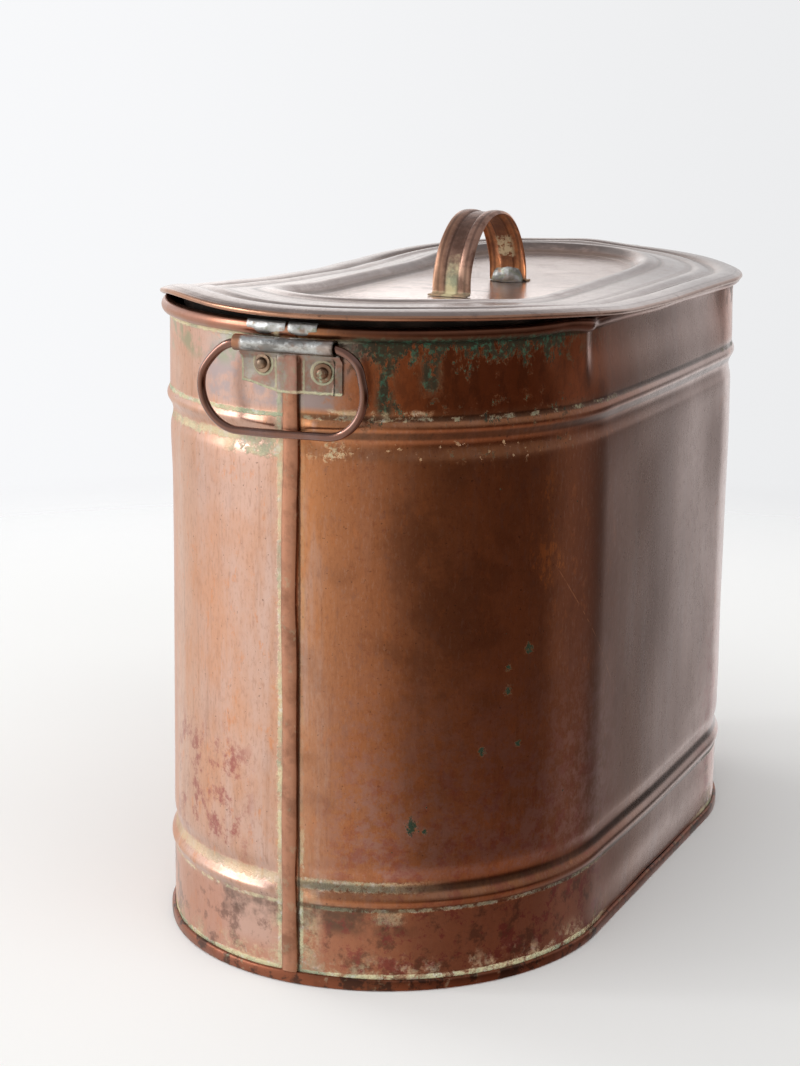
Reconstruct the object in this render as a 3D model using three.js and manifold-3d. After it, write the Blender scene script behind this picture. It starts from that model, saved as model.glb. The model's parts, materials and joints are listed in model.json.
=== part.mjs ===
// Oval copper wash boiler with a lift-off lid and two drop handles.
// Millimetres, +Z up. The long axis lies along Y and the near end faces -Y.
// The origin is the middle of the flat bottom.
import * as THREE from "three";
import { mergeVertices } from "three/addons/utils/BufferGeometryUtils.js";
import Module from "manifold-3d";

const wasm = await Module();
wasm.setup();

// ---- driving dimensions -------------------------------------------------
const HALF_LENGTH = 249; // outside of the wall, centre to end
const HALF_WIDTH = 130; // outside of the wall, centre to side
const END_DEPTH = 138; // depth of each rounded end
const WALL = 0.8; // body sheet
const LID_SHEET = 0.6;
const GAP = 0.3; // between touching pieces

const ROLL_Z = 367.2; // centre of the rolled rim
const ROLL_OUT = 0.5; // its offset outward of the wall
const ROLL_R = 4.1;
const RIM_DIP = 2.5; // the rim sits this much lower half way along each side
const DIP_FOOT = 325; // the wall below this height is level
const ROLL_FOOT = 340; // the plain wall just under the rolled rim
const SOLDER_LEFT = 20; // rim solder, its reach either side of the end seam
const SOLDER_RIGHT = 13;
const SOLDER_THICK = 0.6;

const UPPER_BEAD_Z = 316; // ridge of the upper bead
const LOWER_BEAD_Z = 51.5; // ridge of the lower bead
const BEAD_PROUD = 1.7;
const BEAD_DEEP = 1.6;

const HEM_OUT = 2.2; // how far the folded foot stands out of the wall
const HEM_HEIGHT = 6.3;

const SEAM_WIDTH = 9;
const SEAM_PROUD = 2.4;
const PLATE_HALF = 27; // bracket plate, half its width
const PLATE_LOW = 334;
const PLATE_HIGH = 352;
const PLATE = 1.5;
const RIVET_X = 17.5;
const RIVET_Z = 345.5;
const RIVET_R = 2;
const RIVET_LENGTHS = { tail: 1.4, shoulder: 1, edge: 2.1, crown: 2.5 };
const RIVET_RADII = { tail: 3.2, tailEdge: 4, headEdge: 3.4, head: 2.6 };
const BURR_R = 5;
const BURR_THICK = 1;

const TUBE_Z = 358.7; // bail tube
const TUBE_OUT = 6.4;
const TUBE_R = 4.3;
const TUBE_BORE = 3;
const TUBE_HALF = 29.5;
const BAIL_WIRE = 2.35; // radius
const BAIL_DROP = 23.65; // half the height of the bail, to the middle of the wire
const BAIL_ROUND = 22.7; // depth of its two round ends
const BAIL_FLAT = 27.2; // half of its straight sides

const LIP_Z = 366.5; // underside of the lid's edge, half way along each side
const LIP_OUT = 5.5; // offset of the edge roll
const LIP_R = 1.5;
const LIFT_NEAR = 7.5; // the lid's ends curl up
const LIFT_FAR = 5;
const FLAT_HALF = 60; // the lid is level for this far either side of its middle
const CURL_LENGTH = 130; // and rises over this length
const PANEL = -3.5; // sunk middle of the lid, above the underside of its edge
const COLLAR_OUT = -6.3;
const COLLAR_DEPTH = 16;
const COLLAR_SEAT = 5.1; // lid's top face above the collar

const STRAP_X = 3.7; // the strap stands a little off the middle
const STRAP_Y = 4;
const STRAP_HALF = 46.5; // half the span of the arch
const STRAP_HEIGHT = 47.2;
const STRAP_WIDTH = 25;
const STRAP_THICK = 1;
const RIB_WIDTH = 8;
const RIB_PROUD = 1.2;
const TAB = 7;
const FILLET_LENGTH = 5; // solder in the corner of each foot
const FILLET_HEIGHT = 3.6;
const FILLET_WIDTH = 18;

const BEYOND = 400; // further out than any part of the boiler

// ---- materials ----------------------------------------------------------
const metal = (color, roughness) => new THREE.MeshStandardMaterial({ color, roughness, metalness: 0.9 });
const COPPER = metal(0x9a5a3c, 0.42);
const COPPER_PALE = metal(0xa98478, 0.4);
const COPPER_DARK = metal(0x6e4432, 0.45);
const IRON = metal(0x4a3b36, 0.6);
const SOLDER = metal(0x9b9d95, 0.5);

// ---- plan of the body ---------------------------------------------------
const smooth = (t) => {
  const c = Math.min(Math.max(t, 0), 1);
  return c * c * (3 - 2 * c);
};

// One turn round the plan, anticlockwise from the near end: points with outward normals.
function ovalStations(endSteps, sideSteps) {
  const straight = HALF_LENGTH - END_DEPTH;
  const list = [];
  const add = (x, y, nx, ny) => {
    const n = Math.hypot(nx, ny);
    list.push({ x, y, nx: nx / n, ny: ny / n });
  };
  for (const side of [1, -1]) {
    for (let i = 0; i < endSteps; i++) {
      const t = (Math.PI * i) / endSteps - Math.PI / 2;
      const c = Math.cos(t);
      const s = Math.sin(t);
      const x = side * s;
      const y = -side * c;
      add(x * HALF_WIDTH, y * END_DEPTH - side * straight, x / HALF_WIDTH, y / END_DEPTH);
    }
    for (let i = 0; i < sideSteps; i++) {
      add(side * HALF_WIDTH, side * straight * ((2 * i) / sideSteps - 1), side, 0);
    }
  }
  return list;
}

// One turn round a bail: two straight sides joined by rounded ends.
function bailStations(endSteps) {
  const list = [];
  for (const side of [1, -1]) {
    for (let i = 0; i <= endSteps; i++) {
      const t = (Math.PI * i) / endSteps - Math.PI / 2;
      const c = side * Math.cos(t);
      const s = side * Math.sin(t);
      const n = Math.hypot(c / BAIL_ROUND, s / BAIL_DROP);
      const nx = c / BAIL_ROUND / n;
      const ny = s / BAIL_DROP / n;
      list.push({ x: side * BAIL_FLAT + BAIL_ROUND * c, y: BAIL_DROP * s, nx, ny });
    }
  }
  return list;
}

const OVAL = ovalStations(14, 6);

// The station at the middle of an end, or its neighbour on either side (hand -1, 0 or 1).
function stationAt(hand, end) {
  const atEnd = OVAL.filter((s) => s.y * end > 0).sort((a, b) => Math.abs(a.x) - Math.abs(b.x));
  return hand === 0 ? atEnd[0] : atEnd.slice(1, 3).find((s) => s.x * hand > 0);
}
const INNER = -68; // inward of this the plan only shrinks to its centre
const CENTRE = -HALF_WIDTH;

// A lathed profile of [offset, height] points, laid round the stations instead of a circle.
function ring(profile, stations, settle = (x, y, z) => z) {
  const points = profile.map(([u, z]) => new THREE.Vector2(HALF_WIDTH + u, z));
  const g = new THREE.LatheGeometry(points, stations.length);
  const pos = g.getAttribute("position");
  for (let k = 0; k < pos.count; k++) {
    const s = stations[Math.floor(k / points.length) % stations.length];
    const [u, z] = profile[k % points.length];
    const reach = Math.max(u, INNER);
    const shrink = u < INNER ? (u - CENTRE) / (INNER - CENTRE) : 1;
    const x = (s.x + s.nx * reach) * shrink;
    const y = (s.y + s.ny * reach) * shrink;
    pos.setXYZ(k, x, y, settle(x, y, z));
  }
  return g;
}

// ---- solids -------------------------------------------------------------
function solid(geometry) {
  const bare = geometry.clone();
  bare.deleteAttribute("normal");
  bare.deleteAttribute("uv");
  const merged = mergeVertices(bare, 1e-3);
  const made = new wasm.Manifold(
    new wasm.Mesh({
      numProp: 3,
      vertProperties: merged.getAttribute("position").array,
      triVerts: new Uint32Array(merged.index.array),
    }),
  );
  return made;
}

function geometryOf(manifold) {
  const m = manifold.getMesh();
  const g = new THREE.BufferGeometry();
  g.setAttribute("position", new THREE.BufferAttribute(new Float32Array(m.vertProperties), 3));
  g.setIndex(new THREE.BufferAttribute(new Uint32Array(m.triVerts), 1));
  g.computeVertexNormals();
  return g;
}

function block(x0, x1, y0, y1, z0, z1) {
  const g = new THREE.BoxGeometry(x1 - x0, y1 - y0, z1 - z0);
  g.translate((x0 + x1) / 2, (y0 + y1) / 2, (z0 + z1) / 2);
  return solid(g);
}

const boiler = new THREE.Group();
boiler.name = "wash_boiler";

function addNode(name, geometry, material, parent = boiler) {
  const mesh = new THREE.Mesh(geometry, material);
  mesh.name = name;
  parent.add(mesh);
}

const arc = (u, z, r, from, to, steps) =>
  Array.from({ length: steps + 1 }, (_, i) => {
    const a = THREE.MathUtils.degToRad(from + ((to - from) * i) / steps);
    return [u + r * Math.cos(a), z + r * Math.sin(a)];
  });

// ---- body ---------------------------------------------------------------
// Along each side the rim dips a little towards the middle.
const DIP_FLAT = 40;
const DIP_LENGTH = 150;
const sideShare = (y) => 1 - smooth((Math.abs(y) - DIP_FLAT) / DIP_LENGTH);
const rimShare = (z) => smooth((z - DIP_FOOT) / (ROLL_Z - ROLL_R - DIP_FOOT));
const rimSettle = (x, y, z) => z - RIM_DIP * sideShare(y) * rimShare(z);

// A bead is a ridge with a cove on the panel side of it.
const bead = (ridgeZ, towardsPanel) =>
  [
    [0, -4],
    [0.85, -1.4],
    [1, 0],
    [0.8, 1.6],
    [-0.35, 5],
    [-1, 9.5],
    [-0.8, 13.5],
    [0, 18],
  ].map(([depth, dz]) => [depth > 0 ? depth * BEAD_PROUD : depth * BEAD_DEEP, ridgeZ + towardsPanel * dz]);

function wallProfile() {
  const beads = [...bead(LOWER_BEAD_Z, 1), ...bead(UPPER_BEAD_Z, -1).reverse()];
  const face = [...beads, [0, DIP_FOOT], [0, ROLL_FOOT]];
  const flangeLow = WALL + GAP + 0.1;
  const flangeOut = HEM_OUT - WALL - GAP - 0.2;
  const foot = [
    [-WALL, flangeLow],
    [flangeOut, flangeLow],
    [flangeOut, flangeLow + WALL],
    [0, flangeLow + WALL],
  ];
  const rollInside = arc(ROLL_OUT, ROLL_Z, ROLL_R - WALL, -98, -430, 11);
  const rollOutside = arc(ROLL_OUT, ROLL_Z, ROLL_R, -430, -108, 11);
  const back = face.map(([u, z]) => [u - WALL, z]).reverse();
  return [...foot, ...face, [0, ROLL_Z - ROLL_R + 0.2], ...rollInside, ...rollOutside, ...back];
}

const closed = (profile) => [...profile, profile[0]];

// The wall's flat facet at distance x from the middle of an end: a point on it and its outward normal.
// end is -1 near, +1 far.
function wallFrame(x, end) {
  const share = x / stationAt(Math.sign(x), end).x;
  const mid = stationAt(0, end);
  const next = stationAt(Math.sign(x), end);
  const point = new THREE.Vector3(x, mid.y + (next.y - mid.y) * share, 0);
  const normal = new THREE.Vector3(mid.y - next.y, next.x - mid.x, 0).normalize();
  return { point, normal: normal.y * end < 0 ? normal.negate() : normal };
}

// A lathed piece whose own axis is laid along the wall's normal.
function onWall(profile, x, z, end) {
  const g = new THREE.LatheGeometry(
    profile.map(([r, out]) => new THREE.Vector2(r, out)),
    12,
  );
  const { point, normal } = wallFrame(x, end);
  g.applyQuaternion(new THREE.Quaternion().setFromUnitVectors(new THREE.Vector3(0, 1, 0), normal));
  g.translate(point.x, point.y, z);
  return g;
}

const rivetSpots = [];
for (const [end, endName] of [
  [-1, "near"],
  [1, "far"],
]) {
  for (const [hand, handName] of [
    [-1, "left"],
    [1, "right"],
  ]) {
    rivetSpots.push({ end, x: hand * RIVET_X, label: `${endName}_%_${handName}` });
  }
}

const rivetHole = ({ x, end }) =>
  solid(
    onWall(
      [
        [0, -6],
        [RIVET_R + GAP, -6],
        [RIVET_R + GAP, 8],
        [0, 8],
      ],
      x,
      RIVET_Z,
      end,
    ),
  );

const holes = rivetSpots.map(rivetHole);
const fullWall = holes.reduce((a, h) => a.subtract(h), solid(ring(closed(wallProfile()), OVAL, rimSettle)));
for (const [name, x0, x1] of [
  ["side_sheet_left", -BEYOND, -GAP / 2],
  ["side_sheet_right", GAP / 2, BEYOND],
]) {
  addNode(name, geometryOf(fullWall.intersect(block(x0, x1, -BEYOND, BEYOND, -1, BEYOND))), COPPER);
}

// Everything inside the wall's outer face, grown by the gap: pieces on the wall are cut back from it.
const grown = [
  [CENTRE, 0],
  [GAP, 0],
  ...[...bead(LOWER_BEAD_Z, 1), ...bead(UPPER_BEAD_Z, -1).reverse()].map(([u, z]) => [u + GAP, z]),
  [GAP, BEYOND],
  [CENTRE, BEYOND],
];
const wallKeepOut = solid(ring(grown, OVAL, rimSettle));

const outlineOf = (corners) => new THREE.Shape(corners.map(([u, v]) => new THREE.Vector2(u, v)));
const SEAM_ROOT = -3; // starts inside the wall and is trimmed back to it
const seamEdge = SEAM_WIDTH / 2;
const seamFlat = SEAM_WIDTH * 0.27;
const seamShoulder = SEAM_PROUD * 0.55;
const seamOutline = outlineOf([
  [-seamEdge, SEAM_ROOT],
  [seamEdge, SEAM_ROOT],
  [seamEdge, seamShoulder],
  [seamFlat, SEAM_PROUD],
  [-seamFlat, SEAM_PROUD],
  [-seamEdge, seamShoulder],
]);
const SEAM_LOW = HEM_HEIGHT + GAP;
const SEAM_HIGH = ROLL_Z - ROLL_R - GAP;

function seam(end) {
  const depth = SEAM_HIGH - SEAM_LOW;
  const g = new THREE.ExtrudeGeometry(seamOutline, { depth, bevelEnabled: false });
  g.translate(0, HALF_LENGTH, SEAM_LOW);
  if (end < 0) g.rotateZ(Math.PI);
  return solid(g).subtract(wallKeepOut);
}
addNode("near_end_seam", geometryOf(seam(-1)), COPPER_DARK);
addNode("far_end_seam", geometryOf(seam(1)), COPPER_DARK);

addNode(
  "bottom_pan",
  ring(
    [
      [CENTRE, 0],
      [HEM_OUT, 0],
      [HEM_OUT, HEM_HEIGHT],
      [GAP, HEM_HEIGHT],
      [GAP, HEM_HEIGHT - WALL],
      [HEM_OUT - WALL, HEM_HEIGHT - WALL],
      [HEM_OUT - WALL, WALL],
      [CENTRE, WALL],
    ],
    OVAL,
  ),
  COPPER_DARK,
);

addNode("rim_wire", ring(arc(ROLL_OUT, ROLL_Z, ROLL_R - WALL - GAP, 0, 360, 8), OVAL, rimSettle), IRON);

// The half of space on one side of y = 0, between two values of x.
function endBlock(x0, x1, end) {
  return block(x0, x1, Math.min(0, end * BEYOND), Math.max(0, end * BEYOND), -1, BEYOND);
}

// Solder closes the rolled rim where the two sheets meet.
function rimSolder(end) {
  const skin = [
    ...arc(ROLL_OUT, ROLL_Z, ROLL_R + GAP + SOLDER_THICK, -52, 50, 4),
    ...arc(ROLL_OUT, ROLL_Z, ROLL_R + GAP, 50, -52, 4),
  ];
  return solid(ring(closed(skin), OVAL, rimSettle)).intersect(endBlock(-SOLDER_LEFT, SOLDER_RIGHT, end));
}
addNode("near_rim_solder", geometryOf(rimSolder(-1)), SOLDER);
addNode("far_rim_solder", geometryOf(rimSolder(1)), SOLDER);

// ---- drop handles -------------------------------------------------------
function curvedPlate(inner, outer, x0, x1, end) {
  const band = [
    [inner, PLATE_LOW],
    [outer, PLATE_LOW],
    [outer, PLATE_HIGH],
    [inner, PLATE_HIGH],
  ];
  return solid(ring(closed(band), OVAL)).intersect(endBlock(x0, x1, end));
}

// The tube runs across the end; a web under it joins it to the plate.
function tubeRod(radius, halfLength, end) {
  const g = new THREE.CylinderGeometry(radius, radius, 2 * halfLength, 16);
  g.rotateZ(Math.PI / 2);
  g.translate(0, end * (HALF_LENGTH + TUBE_OUT), TUBE_Z);
  return solid(g);
}

function web(end) {
  const root = end * (HALF_LENGTH - TUBE_OUT);
  const tip = end * (HALF_LENGTH + TUBE_OUT);
  const y0 = Math.min(root, tip);
  const y1 = Math.max(root, tip);
  return block(-PLATE_HALF, PLATE_HALF, y0, y1, PLATE_HIGH - PLATE, TUBE_Z).subtract(wallKeepOut);
}

function bracket(end) {
  const channelIn = SEAM_PROUD + GAP;
  const channelOut = channelIn + PLATE;
  const cheek = SEAM_WIDTH / 2 + GAP;
  let made = curvedPlate(channelIn, channelOut, -cheek - PLATE, cheek + PLATE, end);
  for (const side of [-1, 1]) {
    const near = side * cheek;
    const edge = side * (cheek + PLATE);
    const far = side * PLATE_HALF;
    made = made.add(curvedPlate(GAP, channelOut, Math.min(near, edge), Math.max(near, edge), end));
    made = made.add(curvedPlate(GAP, GAP + PLATE, Math.min(near, far), Math.max(near, far), end));
  }
  const reach = HALF_LENGTH + channelIn;
  const seamRoom = block(-cheek, cheek, -reach, reach, 0, BEYOND);
  made = made.add(web(end)).add(tubeRod(TUBE_R, TUBE_HALF, end));
  made = made.subtract(tubeRod(TUBE_BORE, BEYOND, end)).subtract(seamRoom);
  for (const hole of holes) made = made.subtract(hole);
  return made;
}

// The bail is made hanging in its own plane, then stood on edge at the end of the body.
function bail(end) {
  const g = ring(arc(0, 0, BAIL_WIRE, 0, 360, 8), bailStations(9));
  g.rotateX(Math.PI / 2);
  g.translate(0, end * (HALF_LENGTH + TUBE_OUT), TUBE_Z - BAIL_DROP);
  return g;
}

for (const [end, endName] of [
  [-1, "near"],
  [1, "far"],
]) {
  addNode(`${endName}_bracket`, geometryOf(bracket(end)), COPPER_DARK);
  addNode(`${endName}_bail`, bail(end), COPPER_DARK);
}

// Profiles run outward from inside the wall, through the plate and the burr, to the peened head.
const PLATE_FACE = GAP + PLATE;
const TAIL_FACE = -WALL - GAP;
const BURR_FACE = PLATE_FACE + GAP;
const HEAD_FACE = BURR_FACE + GAP;
const rivetProfile = [
  [0, TAIL_FACE - RIVET_LENGTHS.tail],
  [RIVET_RADII.tail, TAIL_FACE - RIVET_LENGTHS.tail],
  [RIVET_RADII.tailEdge, TAIL_FACE],
  [RIVET_R, TAIL_FACE],
  [RIVET_R, HEAD_FACE + RIVET_LENGTHS.shoulder],
  [RIVET_RADII.headEdge, HEAD_FACE + RIVET_LENGTHS.shoulder],
  [RIVET_RADII.head, HEAD_FACE + RIVET_LENGTHS.edge],
  [0, HEAD_FACE + RIVET_LENGTHS.crown],
];
const burrProfile = [
  [RIVET_R + GAP, BURR_FACE],
  [BURR_R, BURR_FACE],
  [BURR_R, BURR_FACE + BURR_THICK],
  [RIVET_R + GAP, BURR_FACE + BURR_THICK],
];
for (const { end, x, label } of rivetSpots) {
  addNode(label.replace("%", "rivet"), onWall(rivetProfile, x, RIVET_Z, end), COPPER_DARK);
  addNode(label.replace("%", "burr"), onWall(closed(burrProfile), x, RIVET_Z, end), COPPER_DARK);
}

// ---- lid ----------------------------------------------------------------
const lidSettle = (x, y, z) => {
  const curl = smooth((Math.abs(y) - FLAT_HALF) / CURL_LENGTH);
  return z + LIP_Z + curl * (y < 0 ? LIFT_NEAR : LIFT_FAR);
};

// Top face of the lid, from its edge inward: shoulder, two ring beads and the sunk panel.
const lidTop = [
  [2.6, 4.6],
  [-0.6, 5.4],
  [-4, 5.5],
  [-8, 4.4],
  [-11, 3.3],
  [-14, 3.5],
  [-17.5, 4.3],
  [-21, 3.9],
  [-25, 2.8],
  [-45, 2.2],
  [-50, 3.1],
  [-54, 3.6],
  [-58, 2.6],
  [-63, -1.6],
  [-67, PANEL + 0.2],
  [-92, PANEL],
  [-111, PANEL],
];

function lidProfile() {
  const under = lidTop.map(([u, z]) => [u, z - LID_SHEET]);
  const curlOutside = arc(LIP_OUT, LIP_R, LIP_R, 120, -150, 8);
  const curlInside = arc(LIP_OUT, LIP_R, LIP_R - 0.5, -150, 100, 8);
  return [
    [CENTRE, PANEL - LID_SHEET],
    ...under.reverse(),
    ...curlInside.reverse(),
    ...[...curlOutside].reverse(),
    ...lidTop,
    [CENTRE, PANEL],
  ];
}
addNode("lid_sheet", ring(lidProfile(), OVAL, lidSettle), COPPER_PALE);
addNode("lid_edge_wire", ring(arc(LIP_OUT, LIP_R, LIP_R - 0.8, 0, 360, 6), OVAL, lidSettle), IRON);

const collarTop = COLLAR_SEAT - LID_SHEET - 2 * GAP;
addNode(
  "lid_collar",
  ring(
    closed([
      [COLLAR_OUT - LID_SHEET, -COLLAR_DEPTH],
      [COLLAR_OUT, -COLLAR_DEPTH],
      [COLLAR_OUT, collarTop - 2 * GAP],
      [COLLAR_OUT - LID_SHEET, collarTop - 3 * GAP],
    ]),
    OVAL,
    lidSettle,
  ),
  COPPER,
);

// The strap is an arch of sheet with two raised ribs and turned-out feet.
function archOutline(inner, outer) {
  const shape = new THREE.Shape();
  shape.absellipse(0, 0, STRAP_HALF + outer, STRAP_HEIGHT + outer, 0, Math.PI, false, 0);
  shape.absellipse(0, 0, STRAP_HALF + inner, STRAP_HEIGHT + inner, Math.PI, 0, true, 0);
  return shape;
}

function archBand(inner, outer, x0, x1) {
  const g = new THREE.ExtrudeGeometry(archOutline(inner, outer), {
    depth: x1 - x0,
    bevelEnabled: false,
    curveSegments: 14,
  });
  g.rotateX(Math.PI / 2);
  g.rotateZ(Math.PI / 2);
  g.translate(x0, 0, 0);
  return solid(g);
}

const PANEL_Z = LIP_Z + PANEL + GAP;
const half = STRAP_WIDTH / 2;
const ribInner = half - RIB_WIDTH;
let strap = archBand(-STRAP_THICK, 0, -half, half)
  .add(archBand(-STRAP_THICK / 2, RIB_PROUD, -half, -ribInner))
  .add(archBand(-STRAP_THICK / 2, RIB_PROUD, ribInner, half));
for (const side of [-1, 1]) {
  const y0 = side * (STRAP_HALF - STRAP_THICK);
  const y1 = side * (STRAP_HALF + TAB);
  strap = strap.add(block(-half, half, Math.min(y0, y1), Math.max(y0, y1), 0, STRAP_THICK));
}
const strapGeometry = geometryOf(strap);
strapGeometry.translate(STRAP_X, STRAP_Y, PANEL_Z);
addNode("lid_strap", strapGeometry, COPPER);

// A fillet in the inner corner between each leg and the lid: length along the panel, height up the leg.
const filletOutline = outlineOf([
  [0, 0],
  [FILLET_LENGTH, 0],
  [FILLET_LENGTH * 0.5, FILLET_HEIGHT / 3],
  [FILLET_LENGTH * 0.2, FILLET_HEIGHT * 0.8],
  [0, FILLET_HEIGHT],
]);

function strapSolder(side) {
  const g = new THREE.ExtrudeGeometry(filletOutline, { depth: FILLET_WIDTH, bevelEnabled: false });
  g.rotateX(Math.PI / 2);
  g.translate(0, FILLET_WIDTH / 2, 0);
  g.rotateZ(side < 0 ? Math.PI / 2 : -Math.PI / 2);
  g.translate(STRAP_X, STRAP_Y + side * (STRAP_HALF - STRAP_THICK - 2 * GAP), PANEL_Z);
  return g;
}
addNode("near_strap_solder", strapSolder(-1), SOLDER);
addNode("far_strap_solder", strapSolder(1), SOLDER);

export default boiler;
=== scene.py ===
import json
import math

import bpy
import numpy as np
from mathutils import Matrix, Vector


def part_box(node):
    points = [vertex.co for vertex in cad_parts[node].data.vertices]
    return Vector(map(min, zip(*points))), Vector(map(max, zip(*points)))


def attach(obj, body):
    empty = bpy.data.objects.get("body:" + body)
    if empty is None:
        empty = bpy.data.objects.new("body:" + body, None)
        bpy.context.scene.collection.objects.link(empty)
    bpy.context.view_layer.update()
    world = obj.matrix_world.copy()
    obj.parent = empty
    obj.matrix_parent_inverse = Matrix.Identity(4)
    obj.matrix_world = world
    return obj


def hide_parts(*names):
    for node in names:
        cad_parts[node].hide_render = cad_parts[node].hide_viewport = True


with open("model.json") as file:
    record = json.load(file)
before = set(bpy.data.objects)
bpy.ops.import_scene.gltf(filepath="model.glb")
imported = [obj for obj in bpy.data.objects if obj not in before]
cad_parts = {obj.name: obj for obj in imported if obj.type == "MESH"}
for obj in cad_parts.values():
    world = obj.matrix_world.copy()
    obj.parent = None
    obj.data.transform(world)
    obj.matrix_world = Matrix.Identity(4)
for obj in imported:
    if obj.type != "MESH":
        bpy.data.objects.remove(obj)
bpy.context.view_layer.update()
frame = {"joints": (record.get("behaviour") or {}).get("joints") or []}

MM = 0.001


# ---- camera ---------------------------------------------------------------
def add_camera():
    focal, sensor = 76.93, 36.0
    place = Vector((0.5408, -1.3096, 0.5242))
    yaw, pitch, roll = -0.4222, 0.2206, 0.011
    forward = Vector((math.sin(yaw) * math.cos(pitch), math.cos(yaw) * math.cos(pitch), -math.sin(pitch)))
    right = Vector((math.cos(yaw), -math.sin(yaw), 0))
    up = right.cross(forward)
    across = right * math.cos(roll) + up * math.sin(roll)
    upward = up * math.cos(roll) - right * math.sin(roll)
    data = bpy.data.cameras.new("camera")
    data.sensor_fit = "VERTICAL"
    data.sensor_height = sensor
    data.lens = focal
    camera = bpy.data.objects.new("camera", data)
    bpy.context.scene.collection.objects.link(camera)
    turn = Matrix((across, upward, -forward)).transposed()
    camera.matrix_world = Matrix.Translation(place) @ turn.to_4x4()
    bpy.context.scene.camera = camera


add_camera()


# ---- dimensions, in mm ----------------------------------------------------
def box_mm(node):
    low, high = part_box(node)
    return [v / MM for v in low], [v / MM for v in high]


HEM_OUT = 2.2
HEM_HEIGHT = 6.3
_, pan_high = box_mm("bottom_pan")
HALF_WIDTH = pan_high[0] - HEM_OUT
HALF_LENGTH = pan_high[1] - HEM_OUT
END_DEPTH = 138.0
STRAIGHT = HALF_LENGTH - END_DEPTH
WALL = 0.8
LID_SHEET = 0.6

ROLL_Z = 367.2
ROLL_OUT = 0.5
ROLL_R = 4.1
DIP_FOOT = 325.0
UPPER_BEAD_Z = 316.0
LOWER_BEAD_Z = 51.5

SEAM_HALF = 4.6
SEAM_PROUD = 2.4

hinge = {j["child"]: [v / MM for v in j["pos_m"]] for j in frame["joints"] if j["type"] == "hinge"}
TUBE_OUT = hinge["far_handle"][1] - HALF_LENGTH
TUBE_Z = hinge["far_handle"][2]

LIP_Z = 366.5
LIP_OUT = 5.5
LIP_R = 1.5
PANEL = -3.5
INNER = -68.0
CENTRE = -HALF_WIDTH
COLLAR_OUT = -6.3
COLLAR_DEPTH = 16.0
strap_low, strap_high = box_mm("lid_strap")
STRAP_FOOT_Z = strap_low[2]
STRAP_TOP_Z = strap_high[2]
STRAP_TAB = 7.0
STRAP_X = (strap_low[0] + strap_high[0]) / 2
STRAP_Y = (strap_low[1] + strap_high[1]) / 2
STRAP_HALF = (strap_high[1] - strap_low[1]) / 2 - STRAP_TAB
STRAP_WIDTH = strap_high[0] - strap_low[0]
STRAP_THICK = 1.0


# ---- shape helpers --------------------------------------------------------
def smooth(t):
    c = np.clip(t, 0, 1)
    return c * c * (3 - 2 * c)


def bump(t):
    return np.exp(-t * t)


def waves(x, y, z, size, seed, count=7):
    """Smooth random field in -1..1 with features about `size` mm across."""
    draw = np.random.RandomState(seed)
    total = 0
    for _ in range(count):
        d = draw.normal(size=3)
        d = d / np.linalg.norm(d) * draw.uniform(0.7, 1.4) * 2 * math.pi / size / 1.6
        total = total + np.sin(d[0] * x + d[1] * y + d[2] * z + draw.uniform(0, 2 * math.pi))
    return total / math.sqrt(count) / 1.2


class Path:
    """Points in plan with outward normals, anticlockwise."""

    def __init__(self, x, y, nx, ny):
        n = np.hypot(nx, ny)
        self.x, self.y, self.nx, self.ny = x, y, nx / n, ny / n


def oval(end_steps=72, side_steps=54):
    t = np.linspace(0, math.pi / 2, end_steps, endpoint=False)
    x = np.concatenate([HALF_WIDTH * np.sin(t), np.full(side_steps + 1, HALF_WIDTH), HALF_WIDTH * np.sin(t)[::-1]])
    near = -(STRAIGHT + END_DEPTH * np.cos(t))
    y = np.concatenate([near, np.linspace(-STRAIGHT, STRAIGHT, side_steps + 1), -near[::-1]])
    ones = np.ones(side_steps + 1)
    nx = np.concatenate([np.sin(t) / HALF_WIDTH, ones, np.sin(t)[::-1] / HALF_WIDTH])
    slope = np.cos(t) / END_DEPTH
    ny = np.concatenate([-slope, 0 * ones, slope[::-1]])
    right = Path(x, y, nx, ny)
    left = Path(-x[::-1], y[::-1], -nx[::-1], ny[::-1])
    whole = [np.concatenate([getattr(right, k), getattr(left, k)[1:-1]]) for k in ("x", "y", "nx", "ny")]
    return right, left, Path(*whole)


RIGHT, LEFT, WHOLE = oval()


def lay(path, profile, warp):
    """Grid of points: the profile of (offset, height) pairs laid round a path and warped."""
    profile = np.array(profile, float)
    u = np.broadcast_to(profile[None, :, 0], (len(path.x), len(profile)))
    z = np.broadcast_to(profile[None, :, 1], u.shape)
    x, y, nx, ny = (np.broadcast_to(a[:, None], u.shape) for a in (path.x, path.y, path.nx, path.ny))
    return warp(x, y, nx, ny, u, z)


def place(x, y, nx, ny, u, z):
    """Points at offset u outside the path; past INNER they draw together towards the middle."""
    reach = np.maximum(u, INNER)
    shrink = np.where(u < INNER, (u - CENTRE) / (INNER - CENTRE), 1.0)
    return np.stack([(x + nx * reach) * shrink, (y + ny * reach) * shrink, z], -1)


def arc(u, z, r, start, end, steps):
    a = np.radians(np.linspace(start, end, steps + 1))
    return list(zip(u + r * np.cos(a), z + r * np.sin(a)))


def curve_through(points, step):
    """Dense points on a smooth curve through a few (offset, height) pairs."""
    p = np.array(points, float)
    ext = np.vstack([2 * p[0] - p[1], p, 2 * p[-1] - p[-2]])
    out = []
    for i in range(1, len(p)):
        a, b, c, d = ext[i - 1], ext[i], ext[i + 1], ext[i + 2]
        n = max(1, int(math.ceil(np.linalg.norm(c - b) / step)))
        for k in range(n):
            t = k / n
            q = 0.5 * (2 * b + (c - a) * t + (2 * a - 5 * b + 4 * c - d) * t * t + (3 * b - a - 3 * c + d) * t ** 3)
            out.append(tuple(q))
    out.append(tuple(p[-1]))
    return out


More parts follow.
